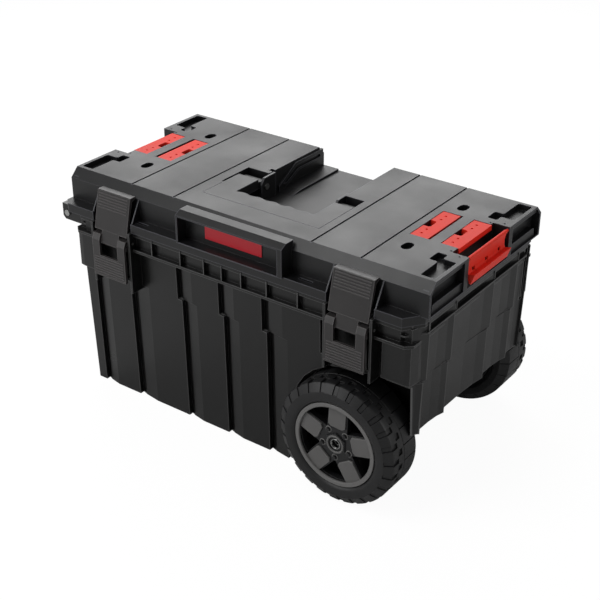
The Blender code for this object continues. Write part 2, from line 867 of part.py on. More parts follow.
def make_tub():
    """The tub shell with everything that is moulded on it."""
    tub = wall_body("tub", 0, tub_wall_top, 0)
    added = rim_shapes() + pull_handle_ears()
    removed = [tub_cavity(), under_space("under", 0), heel_space("heel", 0)]
    removed += [well_space("well_front", -1, 0, well_end), well_space("well_rear", 1, 0, well_end)]
    holes = []
    bays = []
    for centre in latch_centres:
        added += latch_brackets(centre)
        bays.append(block("latch_bay", (centre - latch_bay_half_width, -far, bracket_bottom - cut_overrun),
                          (centre + latch_bay_half_width, -latch_bay_back, rim_top + cut_overrun)))
        reach = latch_bay_half_width + bracket_thickness + cut_overrun
        pivot = (0, lever_pivot_y, lever_pivot_z)
        holes.append(cylinder("latch_pin_hole", lever_pin_radius + running_gap, pivot,
                              centre - reach, centre + reach, "X", small_steps))
    for centre in hinge_centres:
        added += tub_hinge_knuckles(centre)
        reach = hinge_lid_half_width + hinge_tub_width + cut_overrun
        holes.append(cylinder("hinge_hole", hinge_pin_radius + running_gap, (0, hinge_y, hinge_z),
                              centre - reach, centre + reach, "X", small_steps))
    for side in (-1, 1):
        low, high = ordered(side * (ear_outer_face + cut_overrun),
                            side * (ear_inner_face - ear_inner_thickness - cut_overrun))
        holes.append(cylinder("ear_hole", pull_bolt_radius + running_gap,
                              (pull_pivot_x, 0, pull_pivot_z), low, high, "Y", small_steps))
    holes.append(cylinder("axle_hole", axle_radius + running_gap, (axle_x, 0, axle_z),
                          -well_inner_face, well_inner_face, "Y", bar_steps))
    join(tub, *added)
    cut(tub, *removed, *bays, *base_grooves())
    join(tub, *axle_brackets())
    cut(tub, *holes)
    return finish(tub, black_plastic)


# Lid


def eased(points, size):
    """An outline whose corners are each cut off at a small distance along both edges."""
    eased_points = []
    for index, corner in enumerate(points):
        for neighbour in (points[index - 1], points[(index + 1) % len(points)]):
            edge = Vector(neighbour) - Vector(corner)
            reach = min(size, edge.length * ease_share)
            eased_points.append(tuple(Vector(corner) + edge.normalized() * reach))
    return eased_points


def pocket_pair(name, outline, cup_low, cup_high):
    """A pocket in the lid's top and the cup that walls it inside the lid."""
    top = lid_top + cut_overrun
    floor = lid_top - pocket_depth
    pocket = slab(name, [outline], floor, top, "Z")
    cup = block(name + "_cup", (cup_low[0] - shell_wall, cup_low[1] - shell_wall, floor - shell_wall),
                (cup_high[0] + shell_wall, cup_high[1] + shell_wall, top))
    return pocket, cup


def stepped_slot(end, side):
    """The stepped stacking slot beside an end's corner, with its cup."""
    outer = lid_half_length - slot_end_gap
    wide = outer - slot_length
    narrow = wide - slot_narrow_reach
    neck = narrow + slot_narrow_width
    outline = [
        (narrow, slot_inner_place), (neck, slot_inner_place), (neck, slot_step_place), (outer,
                                                                                        slot_step_place),
        (outer, slot_outer_place), (wide, slot_outer_place), (wide, slot_neck_place), (narrow,
                                                                                       slot_neck_place),
    ]
    left, right = ordered(end * narrow, end * outer)
    front, back = ordered(side * slot_inner_place, side * slot_outer_place)
    return pocket_pair("stepped_slot", mirrored(eased(outline, pocket_corner_small), end, side),
                       (left, front), (right, back))


def end_pockets(end):
    """The stacking pockets at one end of the lid and their cups."""
    pairs = []
    for side in (-1, 1):
        pairs.append(stepped_slot(end, side))
        left, right = ordered(end * (oval_centre - oval_half_width), end * (oval_centre + oval_half_width))
        front, back = ordered(side * (oval_place - oval_half_length), side * (oval_place + oval_half_length))
        oval = rounded_rectangle(left, right, front, back, oval_half_width - touch_gap, 2)
        pairs.append(pocket_pair("oval", oval, (left, front), (right, back)))
    for near in (insert_inner_start, insert_outer_start):
        left, right = ordered(end * near, end * (near + insert_slot_width))
        outline = [(left, insert_front), (right, insert_front), (right, insert_back), (left, insert_back)]
        pairs.append(pocket_pair("insert_slot", outline, (left, insert_front), (right, insert_back)))
    return pairs


def end_window(end, side):
    """An end window: shallow above beside the stepped slot, deep below it, following the chamfer."""
    shoulder = lid_top - lid_chamfer_drop
    top = lid_top - window_top_wall
    outer = lid_block_half_depth - window_side_wall
    slope = (top - shoulder) * lid_chamfer_run / lid_chamfer_drop
    outline = [
        (window_inner, ledge_top), (outer, ledge_top), (outer, shoulder - window_side_wall / 2),
        (outer - slope, top), (window_inner, top),
    ]
    outline = [(side * y, z) for y, z in outline]
    low, high = ordered(end * (lid_half_length - window_wall), end * far)
    shallow = slab("end_window", [outline], low, high, "X")
    deep = lid_half_length - window_deep_wall
    left, right = ordered(end * deep, end * (lid_half_length - window_wall + touch_gap))
    front, back = ordered(side * window_inner, side * outer)
    roof = lid_top - pocket_depth - shell_wall
    return [shallow, block("end_window_deep", (left, front, ledge_top), (right, back, roof))]


def end_step(end, side):
    """The step that stands in an end window on the ledge, with a rounded outer end."""
    outer = lid_block_half_depth - window_side_wall - window_step_gap
    foot = ledge_top - ledge_overlap
    top = ledge_top + window_step_height
    ease = window_step_round * (1 - math.sqrt(1 / 2))
    outline = [
        (window_inner - touch_gap, foot), (outer, foot), (outer, top - window_step_round),
        (outer - ease, top - ease), (outer - window_step_round, top), (window_inner - touch_gap, top),
    ]
    outline = [(side * y, z) for y, z in outline]
    low, high = ordered(end * (lid_half_length - window_deep_wall - touch_gap),
                        end * (lid_half_length - window_step_setback))
    return slab("end_step", [outline], low, high, "X")


def lid_end_cuts(end):
    """The notch, its small square marks and the two end windows at one end."""
    shapes = []
    left, right = ordered(end * end_notch_x, end * far)
    shapes.append(block("end_notch", (left, -end_notch_half_width, ledge_top + touch_gap),
                        (right, end_notch_half_width, lid_top + cut_overrun)))
    marks = ((end_notch_x - notch_mark_gap, end_notch_half_width - notch_mark_gap),
             (end_notch_x - notch_mark_gap + notch_mark_run, end_notch_half_width + notch_mark_gap * 2))
    for side in (-1, 1):
        shapes += end_window(end, side)
        for x, y in marks:
            left, right = ordered(end * x - notch_mark / 2, end * x + notch_mark / 2)
            front, back = ordered(side * y - notch_mark / 2, side * y + notch_mark / 2)
            shapes.append(block("notch_mark", (left, front, lid_top - notch_mark_depth),
                                (right, back, lid_top + cut_overrun)))
    return shapes


def side_pin_hole():
    """The hole for the side clip's pins, across the right end's notch."""
    reach = end_notch_half_width + side_pin_depth + touch_gap
    return cylinder("side_pin_hole", side_pin_radius + running_gap,
                    (side_pivot_x, 0, side_pivot_z), -reach, reach, "Y", small_steps)


def notch_cup(end):
    """The wall behind the end notch, left standing inside the lid."""
    left, right = ordered(end * (end_notch_x - shell_wall), end * far)
    return block("notch_cup", (left, -end_notch_half_width - shell_wall, ledge_bottom - cut_overrun),
                 (right, end_notch_half_width + shell_wall, lid_top))


def handle_recess(floor):
    """The pocket of the carry handle, the slot beside its left arm and the channel behind it."""
    top = lid_top + cut_overrun
    gap = handle_pocket_gap
    return [
        block("handle_pocket", (handle_left - gap, handle_front - gap, floor),
              (handle_right + gap, handle_pocket_back, top)),
        block("handle_side_slot", (handle_left - handle_side_slot, handle_side_slot_front, floor),
              (handle_left, handle_pocket_back, top)),
        block("channel", (channel_left, handle_front, floor), (channel_right, far, top)),
        block("channel_slot", (channel_left - channel_slot_depth, handle_web_back, floor),
              (channel_left + touch_gap, handle_web_back + channel_slot_width, top)),
    ]


def lid_hollow(name, left, right, front, back):
    """A hollow under the lid's top, sloped where it follows the lid's chamfered edges."""
    top = lid_top - lid_top_wall
    bottom = ledge_bottom - cut_overrun
    ease = lid_top_wall * (math.sqrt(2) - 1)
    shoulder = lid_top - lid_chamfer_drop - ease
    flat = lid_block_half_depth - lid_chamfer_run - ease
    section = [(front, bottom), (back, bottom)]
    section += [(back, shoulder), (flat, top)] if back > flat else [(back, top)]
    section += [(-flat, top), (front, shoulder)] if front < -flat else [(front, top)]
    return slab(name, [section], left, right, "X")


def lid_cavities(cups):
    """The hollows under the lid: one at each end, one behind the visor, and the low middle."""
    depth = lid_cavity_half_depth
    wall = shell_wall + handle_side_slot
    near = handle_left - wall - cut_overrun
    far_side = handle_right + wall + cut_overrun
    spaces = []
    for end in (-1, 1):
        inner = handle_left - wall if end < 0 else handle_right + wall
        left, right = ordered(inner, end * lid_cavity_half_length)
        cavity = lid_hollow("lid_cavity", left, right, -depth, depth)
        cut(cavity, *cups[end], notch_cup(end))
        spaces.append(cavity)
    spaces.append(lid_hollow("lid_cavity_front", near, far_side, -depth, handle_front - wall))
    spaces.append(block("lid_cavity_low", (near, handle_front - wall - cut_overrun,
                                           ledge_bottom - cut_overrun),
                        (far_side, depth, handle_pocket_floor - shell_wall)))
    behind = handle_pocket_back + wall
    left_wall = channel_left - channel_slot_depth - shell_wall
    spaces.append(lid_hollow("lid_cavity_left", near, left_wall, behind, depth))
    spaces.append(lid_hollow("lid_cavity_right", channel_right + shell_wall, far_side, behind, depth))
    return spaces


def channel_plateau():
    """The low step along the left of the channel's floor, with a ramp at its front."""
    foot = handle_pocket_floor - shell_wall / 2
    high = handle_pocket_floor + plateau_height
    outline = [
        (plateau_start, foot), (lid_block_half_depth, foot), (lid_block_half_depth, high),
        (plateau_edge, high), (plateau_start, handle_pocket_floor),
    ]
    return slab("channel_plateau", [outline], channel_left - shell_wall / 2, channel_left + plateau_reach,
                "X")


def lid_block():
    """The raised block of the lid: a chamfered cross-section run along its length."""
    shoulder = lid_top - lid_chamfer_drop
    flat = lid_block_half_depth - lid_chamfer_run
    bottom = ledge_top - ledge_overlap
    outline = [
        (-lid_block_half_depth, bottom), (lid_block_half_depth, bottom), (lid_block_half_depth, shoulder),
        (flat, lid_top), (-flat, lid_top), (-lid_block_half_depth, shoulder),
    ]
    return slab("lid_shell", [outline], -lid_half_length, lid_half_length, "X")


def visor_shape():
    """The lip over the middle of the front, by which the lid is lifted."""
    outline = [
        (-visor_back, ledge_top - ledge_overlap), (-visor_back, lid_top),
        (-visor_front + visor_slope_run, lid_top), (-visor_front, lid_top - visor_slope_drop),
        (-visor_front, ledge_top - ledge_overlap),
    ]
    return slab("visor", [outline], visor_left, visor_right, "X")


def visor_recess():
    """The recess below the visor's lip, in front of the label panel."""
    return block("visor_recess", (visor_left + visor_cheek_left, -far, ledge_top),
                 (visor_right - visor_cheek_right, -visor_panel, lid_top - visor_lip))


def latch_gussets(centre):
    """Slanted webs beside a latch, from the ledge's front edge up to the block's shoulder."""
    foot = ledge_top - ledge_overlap
    inside = ledge_overlap - lid_block_half_depth
    shoulder = lid_top - lid_chamfer_drop - gusset_setback
    outline = [
        (gusset_setback - ledge_half_depth, foot), (inside, foot), (inside, shoulder),
        (-lid_block_half_depth - gusset_setback, shoulder),
    ]
    shapes = []
    for side in (-1, 1):
        low, high = ordered(centre + side * latch_gap_half_width,
                            centre + side * (latch_gap_half_width + gusset_thickness))
        shapes.append(slab("latch_gusset", [outline], low, high, "X"))
    return shapes


def lid_hinge_knuckle(centre):
    """The lid's knuckle and the web that hangs it under the back ledge."""
    low = centre - hinge_lid_half_width
    high = centre + hinge_lid_half_width
    barrel = cylinder("lid_knuckle", hinge_barrel_radius, (0, hinge_y, hinge_z), low, high, "X", bar_steps)
    web = block("lid_knuckle_web", (low, hinge_y - hinge_web_inset, hinge_z),
                (high, hinge_y + hinge_barrel_radius, ledge_top - ledge_overlap))
    return [barrel, web]


def channel_rails():
    """The raised guides on the channel's walls: each climbs, bends and runs level, with a slot."""
    outer, inner = ([(along * lid_block_half_depth, lid_top - down * handle_pocket_depth) for along,
                     down in shares]
                    for shares in (rail_outer_shares, rail_inner_shares))
    return [
        slab("channel_rail", [outer, inner], channel_left - shell_wall / 2, channel_left + rail_proud, "X"),
        slab("channel_rail", [outer, inner], channel_right - rail_proud, channel_right + shell_wall / 2,
             "X"),
    ]


def handle_webs():
    """The two webs of the lid between the handle's arms and the channel, which hold its pins."""
    shapes = []
    foot = handle_pocket_floor - shell_wall / 2
    outline = [
        (handle_web_front, foot), (handle_web_back, foot), (handle_web_back, lid_top),
        (handle_web_front + handle_web_slope_run, lid_top - touch_gap),
        (handle_web_front, lid_top - handle_web_slope_drop),
    ]
    for inner, side in ((handle_opening_left, -1), (handle_opening_right, 1)):
        low, high = ordered(inner - side * touch_gap, inner - side * (touch_gap + handle_web))
        shapes.append(slab("handle_web", [outline], low, high, "X"))
    return shapes


def handle_pin_holes():
    """Holes for the handle's pins, through the webs and into the lid."""
    shapes = []
    for outer, inner, side in ((handle_left, handle_opening_left, -1),
                               (handle_right, handle_opening_right, 1)):
        low, high = ordered(inner - side * (handle_web + cut_overrun),
                            outer + side * (handle_side_slot + handle_pin_depth + touch_gap))
        shapes.append(cylinder("handle_pin_hole", handle_pin_radius + running_gap,
                               (0, handle_pivot_y, handle_pivot_z), low, high, "X", small_steps))
    return shapes


def handle_pin_bosses():
    """Solid bosses outside the handle's pocket in which the pins end."""
    shapes = []
    for outer, side in ((handle_left, -1), (handle_right, 1)):
        near = outer + side * (handle_side_slot + touch_gap)
        low, high = ordered(near, outer + side * (handle_side_slot + handle_pin_depth + shell_wall))
        half = handle_pin_radius + shell_wall
        shapes.append(block("handle_pin_boss", (low, handle_pivot_y - half, handle_pivot_z - half),
                            (high, handle_pivot_y + half, lid_top - touch_gap)))
    return shapes


def seal_groove():
    """The groove in the ledge's underside that holds the seal."""
    return ring_slab("seal_groove", seal_half_length + seal_slack, seal_half_depth + seal_slack,
                     seal_width + 2 * seal_slack, ledge_bottom - cut_overrun,
                     ledge_bottom + seal_height + 2 * seal_slack)


def ring_slab(name, half_length, half_depth, width, low, high):
    """A rectangular ring with cut corners."""
    corner = rim_corner_run / 2
    outer = cut_corner_rectangle(half_length, half_depth, corner, corner)
    inner = cut_corner_rectangle(half_length - width, half_depth - width, corner, corner)
    return slab(name, [outer, inner], low, high, "Z")


def ledge_outline():
    """The ledge's plan: cut corners, and a longer left end over the pull handle's ears."""
    points = cut_corner_rectangle(ledge_half_length, ledge_half_depth, rim_corner_run, rim_corner_drop)
    left = -ledge_half_length - ledge_left_reach
    shoulder = ledge_half_depth - ledge_left_drop
    return points[:1] + [
        (left + ledge_left_run, ledge_half_depth), (left, shoulder), (left, -shoulder),
        (left + ledge_left_run, -ledge_half_depth),
    ] + points[5:]


def make_lid():
    """The lid shell with everything that is moulded on it."""
    lid = lid_block()
    ledge = slab("ledge", [ledge_outline()], ledge_bottom, ledge_top, "Z")
    added = [ledge, visor_shape()]
    pairs = {end: end_pockets(end) for end in (-1, 1)}
    cups = {end: [cup for pocket, cup in pairs[end]] for end in pairs}
    first_cuts = [visor_recess()] + handle_recess(handle_pocket_floor) + lid_cavities(cups)
    late = handle_webs() + handle_pin_bosses() + channel_rails() + [channel_plateau()]
    last_cuts = handle_pin_holes() + [seal_groove(), side_pin_hole()]
    for centre in latch_centres:
        added += latch_gussets(centre)
        first_cuts.append(block("latch_gap", (centre - latch_gap_half_width, -far,
                                              ledge_bottom - cut_overrun),
                                (centre + latch_gap_half_width, -lid_block_half_depth,
                                 lid_top + cut_overrun)))
    for centre in hinge_centres:
        added += lid_hinge_knuckle(centre)
        reach = hinge_lid_half_width + cut_overrun
        last_cuts.append(cylinder("lid_hinge_hole", hinge_pin_radius + running_gap, (0, hinge_y, hinge_z),
                                  centre - reach, centre + reach, "X", small_steps))
    for end in (-1, 1):
        first_cuts += lid_end_cuts(end)
        first_cuts += [pocket for pocket, cup in pairs[end]]
        for side in (-1, 1):
            late.append(end_step(end, side))
    for share in groove_shares:
        place = share * lid_half_length
        last_cuts.append(block("top_groove", (place - groove_width / 2,
                                              lid_chamfer_run - lid_block_half_depth,
                                              lid_top - groove_depth),
                               (place + groove_width / 2, far, lid_top + cut_overrun)))
    for share in ledge_slot_shares:
        centre = share * lid_half_length
        last_cuts.append(block("ledge_slot", (centre - ledge_slot_length / 2,
                                              -ledge_slot_place - ledge_slot_width / 2,
                                              ledge_bottom - cut_overrun),
                               (centre + ledge_slot_length / 2, -ledge_slot_place + ledge_slot_width / 2,
                                ledge_top + cut_overrun)))
    join(lid, *added)
    cut(lid, *first_cuts)
    join(lid, *late)
    cut(lid, *last_cuts)
    return finish(lid, lid_plastic, (0, hinge_y, hinge_z), lid_axis)


def make_seal():
    """The rubber seal in the lid's groove."""
    low = ledge_bottom + touch_gap
    seal = ring_slab("lid_seal", seal_half_length, seal_half_depth, seal_width, low,
                     low + seal_height - touch_gap)
    return finish(seal, seal_rubber, (0, hinge_y, hinge_z), lid_axis)


def make_insert(name, start, end):
    """A red stacking insert: a bar against its slot's inner side, with a notch and square holes."""
    near = start + touch_gap
    out = start + insert_slot_width - insert_side_gap
    front = insert_front + touch_gap
    back = insert_back - touch_gap
    middle = (front + back) / 2
    top = lid_top - insert_below_top
    bottom = lid_top - pocket_depth + touch_gap
    outline = [
        (near, front), (out, front), (out, back), (near, back),
        (near, middle + insert_notch_half_length),
        (near + insert_notch_width - insert_lead, middle + insert_notch_half_length),
        (near + insert_notch_width, middle + insert_notch_half_length - insert_lead),
        (near + insert_notch_width, middle - insert_notch_half_length + insert_lead),
        (near + insert_notch_width - insert_lead, middle - insert_notch_half_length),
        (near, middle - insert_notch_half_length),
    ]
    insert = slab(name, [mirrored(outline, flip_x=end)], bottom, top, "Z")
    holes = []
    x = end * (near + (out - near) * insert_hole_side_share)
    for share in insert_hole_shares:
        y = front + (back - front) * share
        holes.append(block("insert_hole", (x - insert_hole / 2, y - insert_hole / 2,
                                           top - insert_hole_depth),
                           (x + insert_hole / 2, y + insert_hole / 2, top + cut_overrun)))
    cut(insert, *holes)
    return finish(insert, red_plastic, (0, hinge_y, hinge_z), lid_axis)


def make_label():
    """The bare label plate under the visor's lip."""
    front = -visor_panel - touch_gap
    top = lid_top - visor_lip - touch_gap
    plate = block("label_plate", (label_left, front - label_thickness, top - label_height),
                  (label_right, front, top))
    return finish(plate, label_red, (0, hinge_y, hinge_z), lid_axis)


def handle_end_round():
    """What is cut from the rear ends of the arms, which slope down to a round boss on the pivot."""
    outside = lid_top + cut_overrun
    behind = handle_back + cut_overrun
    outline = [(handle_arm_end, outside), (behind, outside), (behind, handle_pivot_z)]
    for index in range(handle_end_steps + 1):
        angle = index / handle_end_steps * math.pi / 2
        outline.append((handle_pivot_y + handle_boss_radius * math.cos(angle),
                        handle_pivot_z + handle_boss_radius * math.sin(angle)))
    outline.append((handle_arm_end, lid_top - handle_boss_radius / 2))
    return slab("handle_end_round", [outline], handle_left - cut_overrun, handle_right + cut_overrun, "X")


def make_carry_handle():
    """The flush carry handle: two arms and a grip whose finger edge is waved."""
    opening_front = handle_front + grip_depth
    wave = []
    span = handle_opening_right - handle_opening_left
    for index in range(grip_wave_points + 1):
        share = index / grip_wave_points
        dip = grip_wave_depth * (1 - math.cos(2 * math.pi * grip_wave_count * share)) / 2
        wave.append((handle_opening_right - span * share, opening_front + dip))
    outline = [
        (handle_left, handle_front), (handle_right, handle_front), (handle_right, handle_back),
        (handle_opening_right + touch_gap, handle_back),
    ]
    right_arm = [(handle_opening_right + touch_gap, opening_front)]
    left_arm = [(handle_opening_left - touch_gap, opening_front),
                (handle_opening_left - touch_gap, handle_back),
                (handle_left, handle_back)]
    handle = slab("carry_handle", [outline + right_arm + wave[1:-1] + left_arm], lid_top - handle_thickness,
                  lid_top, "Z")
    hollow = block("handle_hollow", (handle_left + handle_edge * 2, handle_front + handle_edge,
                                     lid_top - handle_thickness - cut_overrun),
                   (handle_right - handle_edge * 2, opening_front - handle_edge, lid_top - handle_edge))
    reach = far
    hole = cylinder("handle_hole", handle_pin_radius + running_gap, (0, handle_pivot_y, handle_pivot_z),
                    -reach, reach, "X", small_steps)
    cut(handle, hollow, hole, handle_end_round())
    return finish(handle, lid_plastic, (0, handle_pivot_y, handle_pivot_z), carry_axis)


def make_handle_pin(name, outer, inner, side):
    """A headed steel pin on which one arm of the carry handle turns."""
    head_inner = inner - side * (touch_gap + handle_web + touch_gap)
    low, high = ordered(head_inner, outer + side * (handle_side_slot + handle_pin_depth))
    pin = cylinder(name, handle_pin_radius, (0, handle_pivot_y, handle_pivot_z), low, high, "X", small_steps)
    low, high = ordered(head_inner - side * handle_pin_head, head_inner)
    head = cylinder("handle_pin_head", handle_pin_head_radius, (0, handle_pivot_y, handle_pivot_z), low,
                    high, "X",
                    small_steps)
    join(pin, head)
    return finish(pin, zinc_steel, (0, handle_pivot_y, handle_pivot_z), lid_axis, smooth=True)


# Latches


def latch_pin(name, centre):
    """The steel pin on which a lever turns."""
    reach = latch_bay_half_width + bracket_thickness + lever_pin_reach
    pin = cylinder(name, lever_pin_radius, (0, lever_pivot_y, lever_pivot_z), centre - reach,
                   centre + reach, "X",
                   small_steps)
    return finish(pin, zinc_steel, (centre, lever_pivot_y, lever_pivot_z), smooth=True)


def make_lever(name, centre, parent):
    """The lower lever: a ribbed plate with a window, two arms and their barrels."""
    back = lever_front - lever_thickness
    side_outline = [
        (-lever_front, lever_bottom + lever_lip), (-lever_front - rib_height, lever_bottom + lever_lip),
        (-lever_front - rib_height, lever_bottom), (-back, lever_bottom), (-back, lever_tab_shoulder),
        (lever_pivot_y, lever_pivot_z), (lever_pivot_y, lever_tab_top),
        (-back - touch_gap, lever_tab_top), (-lever_front, lever_tab_shoulder),
    ]
    lever = slab(name, [side_outline], centre - latch_half_width, centre + latch_half_width, "X")
    barrel = cylinder("lever_barrel", lever_barrel_radius, (0, lever_pivot_y, lever_pivot_z),
                      centre - latch_half_width, centre + latch_half_width, "X", bar_steps)
    ribs = []
    for index in range(rib_count_lever):
        low = lever_bottom + lever_lip + rib_margin / 2 + index * rib_pitch
        ribs.append(block("lever_rib", (centre - latch_half_width + rib_margin, -lever_front - rib_height,
                                        low),
                          (centre + latch_half_width - rib_margin, -lever_front + rib_height,
                           low + rib_width)))
    join(lever, barrel, *ribs)
    inner = latch_half_width - lever_arm_width
    window = block("lever_window", (centre - inner, -far, lever_window_bottom), (centre + inner, 0, lid_top))
    pin_hole = cylinder("lever_pin_hole", lever_pin_radius + running_gap, (0, lever_pivot_y, lever_pivot_z),
                        centre - far, centre + far, "X", small_steps)
    link_reach = inner + lever_arm_width / 2 + touch_gap
    link_hole = cylinder("lever_link_hole", clip_pin_radius + running_gap, (0, clip_pivot_y, clip_pivot_z),
                         centre - link_reach, centre + link_reach, "X", small_steps)
    bosses = []
    for side in (-1, 1):
        low, high = ordered(centre + side * inner, centre + side * (inner + lever_arm_width))
        bosses.append(cylinder("lever_boss", clip_barrel_radius, (0, clip_pivot_y, clip_pivot_z), low, high,
                               "X",
                               small_steps))
    cut(lever, window)
    join(lever, *bosses)
    cut(lever, pin_hole, link_hole)
    return finish(lever, latch_plastic, (centre, lever_pivot_y, lever_pivot_z), parent)


def make_clip(name, centre, parent):
    """The upper clip: a leaning plate with a hooked top, and a narrow neck down to its pin."""
    span = clip_top - clip_pivot_z
    lean = (clip_foot_front - clip_top_front) / span

    def front_at(height):
        return -(clip_foot_front - lean * (height - clip_pivot_z))

    side_outline = [
        (front_at(clip_shoulder), clip_shoulder), (front_at(clip_top), clip_top - clip_lip_proud),
        (front_at(clip_top) + clip_lip_proud, clip_top),
        (-clip_hook_tip, clip_top), (-clip_hook_tip, clip_top - clip_hook_drop / 2),
        (front_at(clip_top) + clip_thickness, clip_top - clip_hook_drop),
        (front_at(clip_shoulder) + clip_thickness, clip_shoulder),
    ]
    clip = slab(name, [side_outline], centre - latch_half_width, centre + latch_half_width, "X")
    half_neck = latch_half_width - lever_arm_width - clip_neck_gap
    neck_outline = [
        (front_at(clip_pivot_z), clip_pivot_z), (front_at(clip_shoulder), clip_shoulder + clip_lip_proud),
        (front_at(clip_shoulder) + clip_thickness, clip_shoulder + clip_lip_proud),
        (front_at(clip_pivot_z) + clip_thickness, clip_pivot_z),
    ]
    neck = slab("clip_neck", [neck_outline], centre - half_neck, centre + half_neck, "X")
    barrel = cylinder("clip_barrel", clip_barrel_radius, (0, clip_pivot_y, clip_pivot_z), centre - half_neck,
                      centre + half_neck, "X", small_steps)
    ribs = []
    for index in range(rib_count_clip):
        high = clip_top - rib_margin - index * rib_pitch
        front = front_at(high)
        ribs.append(block("clip_rib", (centre - latch_half_width + rib_margin, front - rib_height,
                                       high - rib_width),
                          (centre + latch_half_width - rib_margin, front + rib_height, high)))
    join(clip, neck, barrel, *ribs)
    cut(clip, cylinder("clip_pin_hole", clip_pin_radius + running_gap, (0, clip_pivot_y, clip_pivot_z),
                       centre - far, centre + far, "X", small_steps))
    return finish(clip, latch_plastic, (centre, clip_pivot_y, clip_pivot_z), parent)


def make_link_pin(name, centre, parent):
    """The small steel pin that joins a clip to its lever."""
    reach = latch_half_width - lever_arm_width / 2
    pin = cylinder(name, clip_pin_radius, (0, clip_pivot_y, clip_pivot_z), centre - reach, centre + reach,
                   "X",
                   small_steps)
    return finish(pin, zinc_steel, (centre, clip_pivot_y, clip_pivot_z), parent, smooth=True)


# Side clips


def make_side_clip():
    """The side clip: bead, plate, and a wedge lip with square holes, hanging on two pins."""
    outline = [(side_pivot_x + out * side_length, side_pivot_z + up * side_length) for out,
               up in side_outline_shares]
    clip = slab("side_clip", [outline], -side_half_width, side_half_width, "Y")
    bead = cylinder("side_bead", side_bead_radius, (side_pivot_x, 0, side_pivot_z),
                    -side_half_width, side_half_width, "Y", small_steps)
    reach = end_notch_half_width + side_pin_depth
    pins = cylinder("side_pins", side_pin_radius, (side_pivot_x, 0, side_pivot_z), -reach, reach, "Y",
                    small_steps)
    join(clip, bead, pins)
    holes = []
    crease_share = side_outline_shares[3][1]
    low = side_pivot_z + crease_share * side_length + touch_gap
    for place in side_hole_places:
        holes.append(block("side_hole", (side_pivot_x - side_hole_back * 2, place - side_hole_width / 2,
                                         low),
                           (side_pivot_x + side_hole_back, place + side_hole_width / 2,
                            low + side_hole_height)))
    cut(clip, *holes)
    axis = joint_empty("side_clip_axis", (side_pivot_x, 0, side_pivot_z))
    return finish(clip, red_plastic, (side_pivot_x, 0, side_pivot_z), axis)


# Lid hinge pins, wheels and axle


def make_hinge_pin(name, centre):
    """A steel hinge pin through the lid's and the tub's knuckles."""
    reach = hinge_lid_half_width + hinge_side_gap + hinge_tub_width
    pin = cylinder(name, hinge_pin_radius, (0, hinge_y, hinge_z), centre - reach, centre + reach, "X",
                   small_steps)
    return finish(pin, zinc_steel, (centre, hinge_y, hinge_z), smooth=True)


def make_axle():
    """The steel axle tube."""
    end = wheel_outer_face - axle_end_setback
    profile = [(axle_radius, end), (axle_radius, -end), (axle_bore, -end), (axle_bore, end)]
    axle = turned("axle", profile, (axle_x, 0, axle_z), bar_steps)
    return finish(axle, zinc_steel, (axle_x, 0, axle_z), smooth=True)


def ring(name, side, inner, outer, near, out, look, parent=None):
    """A plain ring on the axle, between two distances from the middle of the toolbox."""
    low, high = ordered(side * near, side * out)
    profile = [(outer, high), (outer, low), (inner, low), (inner, high)]
    piece = turned(name, profile, (axle_x, 0, axle_z), bar_steps)
    return finish(piece, look, (axle_x, 0, axle_z), parent, smooth=True)


def tyre_profile(side):
    """The tyre's cross-section, from the outer bead over the tread to the inner bead."""
    outer = wheel_outer_face
    inner = wheel_inner_face
    base = wheel_radius
    half = [
        (tyre_inner_radius, outer - tyre_wall_drop), (tyre_inner_radius + tyre_shoulder / 2, outer),
        (base - tyre_wall_edge, outer), (base, outer - tyre_shoulder),
    ]
    groove_middle = outer - tread_row_width
    groove = [
        (base, groove_middle + tread_gap), (base - tread_depth, groove_middle + tread_gap / 2),
        (base - tread_depth, groove_middle - tread_gap / 2), (base, groove_middle - tread_gap),
    ]
    far_half = [(base, inner + tyre_shoulder), (base - tyre_wall_edge, inner), (tyre_inner_radius, inner)]
    profile = half + groove + far_half
    return [(radius, side * along) for radius, along in profile]


def tread_cutters(side):
    """Cross grooves of the tread: two rows, the second one set half a block on."""
    shapes = []
    middle = wheel_outer_face - tread_row_width
    for row, (near, out) in enumerate(((middle, wheel_outer_face + cut_overrun),
                                       (wheel_inner_face - cut_overrun, middle))):
        shape = bmesh.new()
        low, high = ordered(side * near, side * out)
        for index in range(tread_blocks):
            angle = (index + row / 2) * 2 * math.pi / tread_blocks
            turn = Matrix.Translation((axle_x, 0, axle_z)) @ Matrix.Rotation(angle, 4, "Y")
            centre = Matrix.Translation((wheel_radius, (low + high) / 2, 0))
            size = Matrix.Diagonal((tread_depth * 2, high - low, tread_groove, 1))
            bmesh.ops.create_cube(shape, size=1, matrix=turn @ centre @ size)
        shapes.append(from_bmesh("tread_grooves", shape))
    return shapes


def make_tyre(name, side, parent):
    """A rubber tyre with staggered tread blocks."""
    tyre = turned(name, tyre_profile(side), (axle_x, 0, axle_z), tyre_steps)
    cut(tyre, *tread_cutters(side))
    return finish(tyre, tyre_rubber, (axle_x, 0, axle_z), parent)


